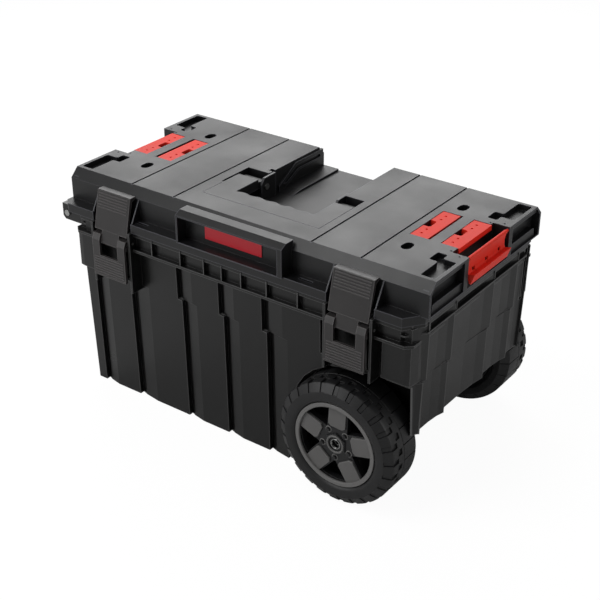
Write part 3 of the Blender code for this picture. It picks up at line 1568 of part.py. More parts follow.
def spoke_plate(side):
    """The wheel's disc with an opening between each two spokes."""
    rim_edge = tyre_inner_radius - running_gap - rim_barrel_thickness / 2
    opening_edge = rim_lip_radius - rim_barrel_thickness / 2
    outline = circle_outline(rim_edge, rim_steps)
    pitch = 2 * math.pi / spoke_count
    half_spoke = spoke_width / 2
    openings = []
    for index in range(spoke_count):
        first = spoke_first_angle + index * pitch
        apex_angle = first + pitch / 2
        apex = half_spoke / math.sin(pitch / 2) + opening_apex_gap
        swing = math.asin(half_spoke / opening_edge)
        opening = [(apex * math.cos(apex_angle), apex * math.sin(apex_angle))]
        for step in range(opening_steps + 1):
            angle = first + swing + (pitch - 2 * swing) * step / opening_steps
            opening.append((opening_edge * math.cos(angle), opening_edge * math.sin(angle)))
        openings.append(opening)
    face = wheel_outer_face - spoke_setback
    low, high = ordered(side * face, side * (face - spoke_thickness))
    plate = slab("spoke_plate", [outline] + openings, low, high, "Y")
    plate.matrix_world = Matrix.Translation((axle_x, 0, axle_z)) @ plate.matrix_world
    return plate


def circle_outline(radius, steps):
    """A circle as a polygon."""
    return [(radius * math.cos(2 * math.pi * index / steps), radius * math.sin(2 * math.pi * index / steps))
            for index in range(steps)]


def make_rim(name, side, parent):
    """A moulded rim: barrel with a closing web, spoke plate, hub with a six-sided boss and lugs."""
    outer = wheel_outer_face - rim_setback
    inner = wheel_inner_face + rim_setback
    radius = tyre_inner_radius - running_gap
    hole = radius - rim_barrel_thickness
    web = wheel_outer_face - rim_web_setback
    profile = [
        (radius, side * outer), (radius, side * inner), (hole, side * inner),
        (hole, side * (web - rim_web_thickness)), (hub_radius / 2, side * (web - rim_web_thickness)),
        (hub_radius / 2, side * web), (hole, side * web),
        (hole, side * (outer - spoke_setback)), (rim_lip_radius, side * (outer - rim_barrel_thickness)),
        (rim_lip_radius, side * outer),
    ]
    rim = turned(name, profile, (axle_x, 0, axle_z), rim_steps)
    hub_inner = wheel_inner_face + hub_inner_setback
    boss_face = wheel_outer_face - boss_outer_setback
    hub_outer = wheel_outer_face - hub_outer_setback
    low, high = ordered(side * hub_inner, side * (wheel_outer_face - spoke_setback - spoke_thickness / 2))
    hub = cylinder("hub", hub_radius, (axle_x, 0, axle_z), low, high, "Y", bar_steps)
    low, high = ordered(side * (wheel_outer_face - spoke_setback - spoke_thickness / 2), side * boss_face)
    boss = cylinder("hub_boss", hub_boss_radius, (axle_x, 0, axle_z), low, high, "Y", hub_boss_sides)
    lugs = []
    for index in range(spoke_count):
        angle = spoke_first_angle + (index + 1 / 2) * 2 * math.pi / spoke_count
        centre = (axle_x + lug_ring * math.cos(angle), 0, axle_z + lug_ring * math.sin(angle))
        face = wheel_outer_face - spoke_setback
        low, high = ordered(side * (face - spoke_thickness / 2), side * (face + lug_height))
        lugs.append(cylinder("lug", lug_radius, centre, low, high, "Y", lug_steps))
    join(rim, spoke_plate(side), hub, boss, *lugs)
    bore = cylinder("hub_bore", axle_radius + running_gap, (axle_x, 0, axle_z), -far, far, "Y", bar_steps)
    low, high = ordered(side * (hub_outer - bearing_width - touch_gap), side * far)
    seat = cylinder("bearing_seat", bearing_radius + touch_gap, (axle_x, 0, axle_z), low, high, "Y",
                    bar_steps)
    cut(rim, bore, seat)
    return finish(rim, rim_plastic, (axle_x, 0, axle_z), parent)


def make_wheel(label, side, parent):
    """One wheel: rim, tyre, bearing, and the spacer and circlip that keep it on the axle."""
    make_rim("rim_" + label, side, parent)
    make_tyre("tyre_" + label, side, parent)
    hub_outer = wheel_outer_face - hub_outer_setback
    ring("wheel_bearing_" + label, side, axle_radius + running_gap, bearing_radius,
         hub_outer - bearing_width,
         hub_outer, zinc_steel, parent)
    clip_near = hub_outer + touch_gap
    ring("circlip_" + label, side, axle_radius + running_gap, circlip_radius, clip_near,
         clip_near + circlip_thickness, zinc_steel)
    hub_inner = wheel_inner_face + hub_inner_setback
    ring("axle_spacer_" + label, side, axle_radius + running_gap, bearing_radius,
         well_inner_face - axle_bracket_inset + touch_gap, hub_inner - touch_gap, black_plastic)


# Pull handle


def make_pull_handle():
    """The fold-down pull handle: a U of two arms and a thick grip, on two barrels."""
    half = pull_half_width
    opening = half - pull_arm_width
    grip_top = pull_bottom + pull_grip_height
    arm_top = pull_pivot_z - pull_barrel_radius / 2
    base = pull_bottom + pull_edge / 2
    outline = [
        (-half, base + pull_corner), (-half + pull_corner, base),
        (half - pull_corner, base), (half, base + pull_corner), (half, arm_top),
        (opening, arm_top), (opening, grip_top + pull_edge * 2), (opening - pull_edge * 2, grip_top),
        (pull_edge * 2 - opening, grip_top), (-opening, grip_top + pull_edge * 2), (-opening, arm_top),
        (-half, arm_top),
    ]
    handle = slab("pull_handle", [outline], pull_face, pull_face + pull_thickness, "X")
    bevel(handle, pull_edge / 2)
    grip_outline = rounded_rectangle(pull_grip_front, pull_face + pull_thickness, pull_bottom, grip_top,
                                     pull_corner, 2)
    grip = slab("pull_grip", [grip_outline], -opening - pull_edge / 2, opening + pull_edge / 2, "Y")
    parts = [grip]
    holes = []
    for side in (-1, 1):
        low, high = ordered(side * pull_barrel_outer, side * (ear_inner_face + touch_gap))
        parts.append(cylinder("pull_barrel", pull_barrel_radius, (pull_pivot_x, 0, pull_pivot_z), low, high,
                              "Y",
                              bar_steps))
        holes.append(cylinder("pull_hole", pull_bolt_radius + running_gap, (pull_pivot_x, 0, pull_pivot_z),
                              low - cut_overrun, high + cut_overrun, "Y", small_steps))
    join(handle, *parts)
    cut(handle, *holes)
    return finish(handle, black_plastic, (pull_pivot_x, 0, pull_pivot_z), pull_axis)


def make_pull_bolt(name, side):
    """A headed steel bolt through a pair of ears and the handle's barrel."""
    low, high = ordered(side * (ear_outer_face + touch_gap + pull_bolt_head / 2),
                        side * (ear_inner_face - ear_inner_thickness))
    bolt = cylinder(name, pull_bolt_radius, (pull_pivot_x, 0, pull_pivot_z), low, high, "Y", small_steps)
    low, high = ordered(side * (ear_outer_face + touch_gap),
                        side * (ear_outer_face + touch_gap + pull_bolt_head))
    head = cylinder("bolt_head", pull_bolt_head_radius, (pull_pivot_x, 0, pull_pivot_z), low, high, "Y",
                    small_steps)
    join(bolt, head)
    return finish(bolt, zinc_steel, (pull_pivot_x, 0, pull_pivot_z), smooth=True)


lid_axis = joint_empty("lid_axis", (0, hinge_y, hinge_z))
carry_axis = joint_empty("carry_axis", (0, handle_pivot_y, handle_pivot_z))
pull_axis = joint_empty("pull_axis", (pull_pivot_x, 0, pull_pivot_z))

make_tub()
make_lid()
make_seal()
make_label()
make_carry_handle()
make_handle_pin("handle_pin_left", handle_left, handle_opening_left, -1)
make_handle_pin("handle_pin_right", handle_right, handle_opening_right, 1)
for end_label, end_side in (("left", -1), ("right", 1)):
    make_insert("insert_%s_inner" % end_label, insert_inner_start, end_side)
    make_insert("insert_%s_outer" % end_label, insert_outer_start, end_side)
make_side_clip()
for latch_label, latch_centre in zip(("left", "right"), latch_centres):
    lever_axis = joint_empty("latch_%s_axis" % latch_label, (latch_centre, lever_pivot_y, lever_pivot_z))
    link_axis = joint_empty("clip_%s_axis" % latch_label, (latch_centre, clip_pivot_y, clip_pivot_z))
    latch_pin("latch_pin_" + latch_label, latch_centre)
    make_lever("latch_lever_" + latch_label, latch_centre, lever_axis)
    make_link_pin("link_pin_" + latch_label, latch_centre, lever_axis)
    make_clip("latch_clip_" + latch_label, latch_centre, link_axis)
for hinge_label, hinge_centre in zip(("left", "right"), hinge_centres):
    make_hinge_pin("hinge_pin_" + hinge_label, hinge_centre)
make_axle()
for wheel_label, wheel_side in (("front", -1), ("rear", 1)):
    wheel_axis = joint_empty("wheel_%s_axis" % wheel_label, (axle_x, 0, axle_z))
    make_wheel(wheel_label, wheel_side, wheel_axis)
make_pull_handle()
make_pull_bolt("pull_bolt_front", -1)
make_pull_bolt("pull_bolt_rear", 1)
bpy.data.scenes.remove(workshop)
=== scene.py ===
"""The looks of a rolling toolbox: moulded black plastic, rubber tyres, red stacking pieces and
zinc-plated steel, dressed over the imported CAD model. Metres, +Z up, wheels at +X, latches at -Y."""
import math

import bmesh
import bpy
import numpy as np
from mathutils import Matrix, Vector


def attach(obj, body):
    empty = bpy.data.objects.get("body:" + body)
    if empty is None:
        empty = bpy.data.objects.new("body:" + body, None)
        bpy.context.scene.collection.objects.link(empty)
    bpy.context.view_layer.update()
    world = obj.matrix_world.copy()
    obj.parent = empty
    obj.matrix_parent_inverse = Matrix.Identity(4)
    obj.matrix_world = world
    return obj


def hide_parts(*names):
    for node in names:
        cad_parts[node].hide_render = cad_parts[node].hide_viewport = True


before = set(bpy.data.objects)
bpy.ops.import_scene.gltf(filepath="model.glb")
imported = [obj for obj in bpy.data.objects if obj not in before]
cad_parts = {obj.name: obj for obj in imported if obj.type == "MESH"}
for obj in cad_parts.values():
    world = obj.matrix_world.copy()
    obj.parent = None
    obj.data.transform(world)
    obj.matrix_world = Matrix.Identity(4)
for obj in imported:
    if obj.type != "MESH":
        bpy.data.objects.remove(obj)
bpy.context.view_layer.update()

MM = 0.001
SHARP_EDGE = math.radians(28)

# Camera: solved from the photograph's right angles
CAMERA_AZIMUTH = math.radians(35.94)
CAMERA_ELEVATION = math.radians(28.90)
CAMERA_ROLL = math.radians(0.235)
CAMERA_PLACE = (1.1973, -1.6487, 1.3327)
CAMERA_LENS = 73.52
SENSOR = 36.0

# Floor, surround and soft boxes: name, place, target, size, power
FLOOR_REACH = 60.0
FLOOR_SHADE = "#D8D8D8"
FLOOR_ROUGHNESS = 0.9
FLOOR_GLOW = 1.08
FLOOR_GLOW_SHARE = 0.88
WHITE = (1, 1, 1, 1)
SURROUND = 0.22
BACKDROP = 1.0
SOFT_BOXES = (
    ("key_box", (-0.7, -1.3, 2.6), (0, 0, 0.25), (1.4, 1.2), 26),
    ("back_box", (-1.35, 2.0, 1.85), (0, 0, 0.35), (2.8, 1.4), 42),
    ("side_box", (2.4, 0.3, 1.0), (0, 0, 0.25), (1.0, 1.0), 8),
    ("front_box", (-1.7, -2.5, 1.25), (0.1, 0, 0.2), (1.7, 1.1), 20),
)

# Wheels, as the CAD has them
AXLE_X = 0.250
AXLE_Z = 0.117
TYRE_RADIUS = 0.117
TYRE_OUTER = 0.2463
TYRE_INNER = 0.158
SPOKES = 5
FIRST_SPOKE = math.radians(15)

# Tyre's cross-section in mm: the drop below the tread, and the way in from the nearer face
OUTER_SECTION = (
    (36, 9), (36, 5.5), (34.5, 3), (31, 0.6), (27, 0), (17, 0), (15.6, 0.2), (15, 0.8), (1.2, 9.3),
    (0.4, 11), (0, 13), (0, 23.6), (0, 24.2), (0, 34.6), (0, 35.2), (0, 40.2), (0, 40.6), (0, 41.6), (0, 42),
)
INNER_SECTION = ((0, 13), (0.5, 11), (15, 0.8), (15.6, 0.2), (17, 0), (27, 0), (36, 5.5), (36, 9))

# Tread pattern: angles within a pitch in degrees, bands behind the outer face and depths in mm
TYRE_PITCHES = 25
FIRST_PITCH = math.radians(3.3)
BLOCK_GAP = (-4.55, -3.8)
NARROW_BLOCK = (-2.3, 2.3)
SLITS = ((-2.5, -2.1), (2.1, 2.5))
POCKET = (3.9, 9.2)
PITCH_FILL = (-3.4, 9.0, 0.95)
ANGLE_EASE = 0.14
SHOULDER_BAND = (0.5, 12)
FIRST_BAND = (11, 23.9)
POCKET_BAND = (23.9, 34.9)
LINE_BAND = (40.4, 41.8)
SECOND_BAND = (41.8, 87.6)
BAND_EASE = 0.6
LINE_EASE = 0.4
SIDEWALL_DROP = 15.2
NARROW_DEPTH = 1.7
SLIT_DEPTH = 1.5
FIRST_DEPTH = 3.4
POCKET_DEPTH = 3.2
LINE_DEPTH = 0.9
GAP_DEPTH = 3.6

# Wheel faces in mm: outlines along and across a spoke, and sections of radius and depth
PAD_OUTLINE = ((34, -12), (38.5, -17.2), (73.6, -17.2), (75, -9), (75.4, 0), (75, 9), (73.6, 17.2),
               (38.5, 17.2), (34, 12))
PAD_LEVELS = ((10.3, 1.0), (7.2, 1.0), (6.6, 0.965))
LUG_CENTRE = 28.5
LUG_RADIUS = 5.4
LUG_TUBE = 0.95
LUG_DEPTH = 10.0
LUG_STEPS = 28
LUG_TUBE_STEPS = 10
RIM_LIP = ((80.6, 6.5), (80.6, 3.4), (79.8, 2.6), (73.6, 2.6), (72.6, 3.6), (72.6, 6.5))
RIM_STEPS = 72
HUB_COLLAR = ((14.0, 9.0), (14.0, 6.1), (14.6, 5.4), (16.6, 5.4), (17.4, 6.2), (17.4, 9.0))
DUST_CAP = ((13.1, 11.0), (13.1, 8.6), (12.6, 8.2), (10.3, 8.2), (9.9, 8.6), (9.9, 11.0))
BEARING_RACE = ((9.8, 11.0), (9.8, 7.9), (9.4, 7.4), (8.4, 7.4), (8.0, 7.9), (8.0, 11.0))
HUB_STEPS = 48

# Moulded plastics: name, colour, roughness, grain in mm and its strength, edge radius in mm,
# strength of the scuffs, and how many times paler the painted highlight on convex edges is
TUB_PLASTIC = ("polypropylene_tub", "#080808", 0.33, 0.9, 0.25, 1.0, 0.10, 62)
LID_PLASTIC = ("polypropylene_lid", "#111113", 0.40, 0.8, 0.35, 0.9, 0.12, 22)
LATCH_PLASTIC = ("nylon_latch", "#302E2E", 0.34, 0.7, 0.25, 0.6, 0.10, 5)
RIM_PLASTIC = ("polypropylene_rim", "#656463", 0.40, 0.9, 0.25, 1.0, 0.10, 1.6)
# A darker copy of the rim's grey plastic for the rims' own mouldings and the dust caps: painted shade on the
# recessed web between the spokes, and a darker hub
SHADED_RIM_PLASTIC = ("polypropylene_rim_painted_shade", "#19191A", 0.36, 0.9, 0.25, 1.0, 0.10, 3)
RED_PLASTIC = ("acetal_red", "#F42E16", 0.60, 0.7, 0.15, 0.6, 0.03, 1.1)
LABEL_PLASTIC = ("abs_label", "#CC1428", 0.34, 0.6, 0.05, 0.4, 0.0, 1.1)

# Other finishes: name and colour
TYRE_RUBBER = ("tyre_rubber", "#121213")
SEAL_RUBBER = ("seal_rubber", "#141414")
ZINC_STEEL = ("zinc_steel", "#B9BAB8")

# Plastic's patterns: slow patches of tone and gloss, scuffs drawn out one way, and a painted highlight on
# convex edges. A span is the part of a pattern's values over which its effect grows.
PATCH_SCALE = 9
PATCH_SPAN = (0.3, 0.75)
PATCH_TONES = (0.86, 1.14)
PATCH_GLOSS_SPAN = (0.25, 0.75)
PATCH_GLOSS = (-0.06, 0.08)
SCUFF_STRETCH = (30, 260, 260)
SCUFF_TURN = (0.3, 0.5, 0.2)
SCUFF_SPAN = (0.66, 0.80)
SCUFF_TONE = 2.6
# Painted highlight on convex edges and thin ribs: how far the inward rays reach, the span over which it
# grows, its share and its samples
EDGE_REACH_MM = 1.9
EDGE_SPAN = (0.95, 0.45)
EDGE_SHARE = 0.75
EDGE_HIGHLIGHT_SAMPLES = 6
GRAIN_HEIGHT_MM = 0.1
PLASTIC_IOR = 1.5

# Rubber's and steel's patterns
STIPPLE_MM = 0.9
STIPPLE_HEIGHT_MM = 0.12
STIPPLE_STRENGTH = 0.25
DUST_SCALE = 22
DUST_SPAN = (0.4, 0.8)
DUST_TONE = 1.7
RUBBER_ROUGHNESS = 0.46
RUBBER_IOR = 1.52
RUBBER_EDGE_MM = 0.8
DULL_SCALE = 300
DULL_SPAN = (0.3, 0.8)
DULL_TONE = 0.75
ZINC_GLOSS = (0.22, 0.45)
ZINC_EDGE_MM = 0.3
EDGE_SAMPLES = 4


def linear(code):
    """An sRGB hex value as linear red, green, blue and alpha."""
    channels = [int(code[start:start + 2], 16) / 255 for start in (1, 3, 5)]
    return tuple(c / 12.92 if c <= 0.04045 else ((c + 0.055) / 1.055) ** 2.4 for c in channels) + (1.0,)


def add(tree, kind, settings=None, inputs=None, links=None):
    """One shader node, with its settings, its constant inputs and the sockets that feed it."""
    made = tree.nodes.new(kind)
    for key, value in (settings or {}).items():
        setattr(made, key, value)
    for key, value in (inputs or {}).items():
        made.inputs[key].default_value = value
    for key, source in (links or {}).items():
        tree.links.new(source, made.inputs[key])
    return made


def bare_material(name):
    """A material with nothing in it but its Principled shader."""
    material = bpy.data.materials.new(name)
    material.use_nodes = True
    tree = material.node_tree
    return material, tree, tree.nodes["Principled BSDF"]


def object_place(tree):
    """The place on the object that every pattern hangs on."""
    return add(tree, "ShaderNodeTexCoord").outputs["Object"]


def noise(tree, place, **inputs):
    """A noise pattern's value, from 0 to 1."""
    settings = {key.capitalize(): value for key, value in inputs.items()}
    return add(tree, "ShaderNodeTexNoise", inputs=settings, links={"Vector": place}).outputs["Fac"]


def spread(tree, source, span, start, end):
    """A colour that goes from one to another over a span of a pattern's values."""
    ramp = add(tree, "ShaderNodeValToRGB", links={"Fac": source})
    for element, position, colour in zip(ramp.color_ramp.elements, span, (start, end)):
        element.position = position
        element.color = colour
    return ramp.outputs["Color"]


def mapped(tree, source, span, values):
    """A number that goes from one to another over a span of a pattern's values."""
    inputs = {"From Min": span[0], "From Max": span[1], "To Min": values[0], "To Max": values[1]}
    return add(tree, "ShaderNodeMapRange", inputs=inputs, links={"Value": source}).outputs["Result"]


def mixed(tree, share, below, above):
    """One colour laid over another by a share."""
    return add(tree, "ShaderNodeMix", {"data_type": "RGBA"}, {"B": above},
               {"Factor": share, "A": below}).outputs["Result"]


def shade(colour, factor):
    """A colour made lighter or darker by a factor."""
    return tuple(channel * factor for channel in colour[:3]) + (1.0,)


def soft_edges(tree, edge_mm):
    """A normal that rounds the edges off by a radius."""
    return add(tree, "ShaderNodeBevel", {"samples": EDGE_SAMPLES}, {"Radius": edge_mm * MM}).outputs["Normal"]


def roughen(tree, shader, height, strength, height_mm, edge_mm):
    """Gives a shader soft edges with a fine pattern on them."""
    bump = add(tree, "ShaderNodeBump", inputs={"Strength": strength, "Distance": height_mm * MM},
               links={"Height": height, "Normal": soft_edges(tree, edge_mm)})
    tree.links.new(bump.outputs["Normal"], shader.inputs["Normal"])


def moulded_plastic(name, code, roughness, grain_mm, grain_strength, edge_mm, wear, edge_highlight_tone):
    """Injection-moulded plastic: a spark-eroded grain that breaks the highlight up, slow patches of
    unlike gloss from handling, softened edges that catch the light, a painted highlight that makes
    convex edges and thin ribs paler, and faint paler scuffs."""
    material, tree, shader = bare_material(name)
    base = linear(code)
    place = object_place(tree)
    grain = noise(tree, place, scale=1 / (grain_mm * MM), detail=3, roughness=0.6)
    patches = noise(tree, place, scale=PATCH_SCALE, detail=4, roughness=0.55)
    stretch = add(tree, "ShaderNodeMapping", inputs={"Scale": SCUFF_STRETCH, "Rotation": SCUFF_TURN},
                  links={"Vector": place}).outputs["Vector"]
    scuffs = noise(tree, stretch, scale=1, detail=6, roughness=0.7)
    toned = spread(tree, patches, PATCH_SPAN, *[shade(base, tone) for tone in PATCH_TONES])
    scuffed = spread(tree, scuffs, SCUFF_SPAN, shade(WHITE, 0), shade(WHITE, wear))
    colour = mixed(tree, scuffed, toned, shade(base, SCUFF_TONE))
    # Painted highlight: where short rays shot inward find the wall thin, at convex edges and ribs, the base
    # colour is made paler
    within = add(tree, "ShaderNodeAmbientOcclusion", {"samples": EDGE_HIGHLIGHT_SAMPLES, "inside": True},
                 {"Distance": EDGE_REACH_MM * MM}).outputs["AO"]
    painted_edge_highlight = mapped(tree, within, EDGE_SPAN, (0, EDGE_SHARE))
    tree.links.new(mixed(tree, painted_edge_highlight, colour, shade(base, edge_highlight_tone)), shader.inputs["Base Color"])
    gloss = mapped(tree, patches, PATCH_GLOSS_SPAN, [roughness + change for change in PATCH_GLOSS])
    tree.links.new(gloss, shader.inputs["Roughness"])
    roughen(tree, shader, grain, grain_strength, GRAIN_HEIGHT_MM, edge_mm)
    shader.inputs["IOR"].default_value = PLASTIC_IOR
    return material


def rubber(name, code):
    """Moulded rubber: a low, even sheen, with a fine stipple and a little pale dust in it."""
    material, tree, shader = bare_material(name)
    base = linear(code)
    place = object_place(tree)
    stipple = noise(tree, place, scale=1 / (STIPPLE_MM * MM), detail=2)
    dust = noise(tree, place, scale=DUST_SCALE, detail=6, roughness=0.7)
    tree.links.new(spread(tree, dust, DUST_SPAN, base, shade(base, DUST_TONE)), shader.inputs["Base Color"])
    shader.inputs["Roughness"].default_value = RUBBER_ROUGHNESS
    shader.inputs["IOR"].default_value = RUBBER_IOR
    roughen(tree, shader, stipple, STIPPLE_STRENGTH, STIPPLE_HEIGHT_MM, RUBBER_EDGE_MM)
    return material


def zinc_steel(name, code):
    """Zinc-plated steel: bright but blurred, with fine dull patches."""
    material, tree, shader = bare_material(name)
    base = linear(code)
    dull = noise(tree, object_place(tree), scale=DULL_SCALE, detail=5)
    tree.links.new(spread(tree, dull, DULL_SPAN, shade(base, DULL_TONE), base), shader.inputs["Base Color"])
    tree.links.new(mapped(tree, dull, (0, 1), ZINC_GLOSS), shader.inputs["Roughness"])
    shader.inputs["Metallic"].default_value = 1.0
    tree.links.new(soft_edges(tree, ZINC_EDGE_MM), shader.inputs["Normal"])
    return material


def paint(material, *names):
    """Gives CAD nodes a finish."""
    for name in names:
        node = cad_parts[name]
        node.data.materials.clear()
        node.data.materials.append(material)


tub_plastic = moulded_plastic(*TUB_PLASTIC)
lid_plastic = moulded_plastic(*LID_PLASTIC)
latch_plastic = moulded_plastic(*LATCH_PLASTIC)
rim_plastic = moulded_plastic(*RIM_PLASTIC)
shaded_rim_plastic = moulded_plastic(*SHADED_RIM_PLASTIC)
red_plastic = moulded_plastic(*RED_PLASTIC)
label_plastic = moulded_plastic(*LABEL_PLASTIC)
tyre = rubber(*TYRE_RUBBER)
seal = rubber(*SEAL_RUBBER)
steel = zinc_steel(*ZINC_STEEL)

paint(tub_plastic, "tub", "pull_handle", "axle_spacer_front", "axle_spacer_rear")
paint(lid_plastic, "lid_shell", "carry_handle")
paint(latch_plastic, "latch_lever_left", "latch_lever_right", "latch_clip_left", "latch_clip_right")
# The rims' web, barrel and hub take the darker copy of the rim plastic: painted shade in the recesses between
# the spokes
paint(shaded_rim_plastic, "rim_front", "rim_rear")
paint(seal, "lid_seal")
paint(label_plastic, "label_plate")
paint(red_plastic, "insert_left_inner", "insert_left_outer", "insert_right_inner", "insert_right_outer",
      "side_clip")
paint(steel, *[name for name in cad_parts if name.startswith(
    ("latch_pin", "link_pin", "hinge_pin", "handle_pin", "pull_bolt", "circlip", "wheel_bearing", "axle"))
    and not name.startswith("axle_spacer")])


def finished(name, points, faces, material):
    """A piece from its points and faces, turned outwards and smooth but for its sharp edges."""
    mesh = bpy.data.meshes.new(name)
    mesh.from_pydata(points.reshape(-1, 3).tolist(), [], faces)
    volume = bmesh.new()
    volume.from_mesh(mesh)
    bmesh.ops.recalc_face_normals(volume, faces=volume.faces)
    volume.to_mesh(mesh)
    volume.free()
    mesh.shade_smooth()
    mesh.set_sharp_from_angle(angle=SHARP_EDGE)
    piece = bpy.data.objects.new(name, mesh)
    bpy.context.scene.collection.objects.link(piece)
    piece.data.materials.append(material)
    return piece


def surface(name, grid, material):
    """A mesh over a grid of points (rows, columns, 3), closed along its rows and its columns:
    each quad joins a point with its next row and next column."""
    rows, columns = grid.shape[:2]
    here = np.arange(rows * columns).reshape(rows, columns)
    below = np.roll(here, -1, 0)
    quads = np.stack([here, np.roll(here, -1, 1), np.roll(below, -1, 1), below], -1).reshape(-1, 4)
    return finished(name, grid, quads.tolist(), material)


def stacked(name, outlines, material):
    """A closed body through outlines of equal length, one array (outline, point, 3) from one
    end to the other, with a flat face on each end."""
    levels, points = outlines.shape[:2]
    places = np.arange(levels * points).reshape(levels, points)
    turned = np.roll(places, -1, 1)
    quads = np.stack([places[:-1], turned[:-1], turned[1:], places[1:]], -1).reshape(-1, 4).tolist()
    return finished(name, outlines, quads + [places[0].tolist(), places[-1].tolist()], material)


def box_window(value, low, high, ease):
    """1 between two values and 0 outside them, with a straight ramp of the given width at each end."""
    return np.clip(np.minimum(value - low, high - value) / ease + 0.5, 0, 1)


def angle_window(angle, span):
    """Where a mark of the tread lies within its pitch."""
    return box_window(angle, math.radians(span[0]), math.radians(span[1]), math.radians(ANGLE_EASE))


def band_window(along, span, ease=BAND_EASE):
    """Where a row of the tread lies across the tyre."""
    return box_window(along, span[0] * MM, span[1] * MM, ease * MM)


def tyre_angles():
    """The angles that the tyre's mesh has points at: close beside each mark and evenly between,
    as (angle round the axle, angle within its pitch). A third of a pitch lies before its zero."""
    pitch = 2 * math.pi / TYRE_PITCHES
    before = pitch / 3
    marks = np.radians([mark for span in (BLOCK_GAP, *SLITS, POCKET) for mark in span])
    ease = math.radians(ANGLE_EASE)
    fill = np.radians(np.arange(*PITCH_FILL))
    inside = np.unique(np.concatenate([marks - ease / 2, marks + ease / 2, fill]))
    turns = (np.arange(TYRE_PITCHES)[:, None] * pitch + inside[None, :]).ravel()
    return turns + FIRST_PITCH, (turns + before) % pitch - before


def tyre_grid(side):
    """The tyre as a surface of two parameters: the angle round the axle and the way along the
    cross-section, from the outer bead over the tread to the inner bead. Each point is the
    section's own point pushed in along its normal by the depth of the tread pattern there:
    pitches of a wide and a narrow shoulder block, a row of pockets, a plain band with a
    fine line, and a row of wide blocks on the inner half."""
    turns, local = tyre_angles()
    section = [(TYRE_RADIUS - drop * MM, TYRE_OUTER - behind * MM) for drop, behind in OUTER_SECTION]
    section += [(TYRE_RADIUS - drop * MM, TYRE_INNER + behind * MM) for drop, behind in INNER_SECTION]
    section = np.array(section)
    after = np.roll(section, -1, 0) - np.roll(section, 1, 0)
    normal = np.stack([-after[:, 1], after[:, 0]], -1)
    normal /= np.linalg.norm(normal, axis=1, keepdims=True)
    angle, along = local[:, None], (TYRE_OUTER - section[:, 1])[None, :]
    tread_side = section[None, :, 0] > TYRE_RADIUS - SIDEWALL_DROP * MM
    narrow = angle_window(angle, NARROW_BLOCK)
    slit = sum(angle_window(angle, span) for span in SLITS)
    pocket = angle_window(angle, POCKET)
    shoulder = band_window(along, SHOULDER_BAND) * tread_side
    second = band_window(along, SECOND_BAND) * tread_side
    depth = shoulder * (narrow * NARROW_DEPTH + slit * SLIT_DEPTH) * MM
    depth = depth + band_window(along, FIRST_BAND) * narrow * FIRST_DEPTH * MM
    depth = np.maximum(depth, band_window(along, POCKET_BAND) * pocket * POCKET_DEPTH * MM)
    depth = np.maximum(depth, band_window(along, LINE_BAND, LINE_EASE) * LINE_DEPTH * MM)
    depth = np.maximum(depth, second * angle_window(angle, BLOCK_GAP) * GAP_DEPTH * MM)
    radius = section[None, :, 0] - depth * normal[None, :, 0]
    place = section[None, :, 1] - depth * normal[None, :, 1]
    return np.stack([AXLE_X + radius * np.cos(turns)[:, None], side * place,
                     AXLE_Z + radius * np.sin(turns)[:, None]], -1)


def wheel_point(side, radius, angle, back):
    """Points on a wheel: a radius and an angle round the axle, and a depth behind the outer face."""
    radius, angle, back = np.broadcast_arrays(radius, angle, back)
    return np.stack([AXLE_X + radius * np.cos(angle), side * (TYRE_OUTER - back),
                     AXLE_Z + radius * np.sin(angle)], -1)


def wheel_flat(side, along, across, angle, back):
    """Points on a wheel: along and across a spoke at an angle, and a depth behind the outer face."""
    along, across, back = np.broadcast_arrays(along, across, back)
    return np.stack([AXLE_X + along * math.cos(angle) - across * math.sin(angle),
                     side * (TYRE_OUTER - back),
                     AXLE_Z + along * math.sin(angle) + across * math.cos(angle)], -1)


def spoke_pad(name, side, angle):
    """A spoke's raised face: an outline with cut corners, straight up and then drawn in to a bevel."""
    corners = np.array(PAD_OUTLINE) * MM
    middle = corners.mean(0)
    levels = []
    for back, share in PAD_LEVELS:
        drawn = middle + (corners - middle) * share
        levels.append(wheel_flat(side, drawn[:, 0], drawn[:, 1], angle, back * MM))
    return stacked(name, np.array(levels), rim_plastic)


def lug_loop(name, side, angle):
    """The raised loop round a lug: a ring whose section is a small circle."""
    turn = np.linspace(0, 2 * math.pi, LUG_STEPS, endpoint=False)[:, None]
    tube = np.linspace(0, 2 * math.pi, LUG_TUBE_STEPS, endpoint=False)[None, :]
    reach = LUG_RADIUS * MM + LUG_TUBE * MM * np.cos(tube)
    back = LUG_DEPTH * MM - LUG_TUBE * MM * np.sin(tube)
    return surface(name, wheel_flat(side, LUG_CENTRE * MM + reach * np.cos(turn), reach * np.sin(turn),
                                    angle, back), rim_plastic)


def turned_ring(name, side, section, material, steps):
    """A closed (radius, depth) section turned round the axle."""
    section = np.array(section) * MM
    turn = np.linspace(0, 2 * math.pi, steps, endpoint=False)[:, None]
    return surface(name, wheel_point(side, section[None, :, 0], turn, section[None, :, 1]), material)


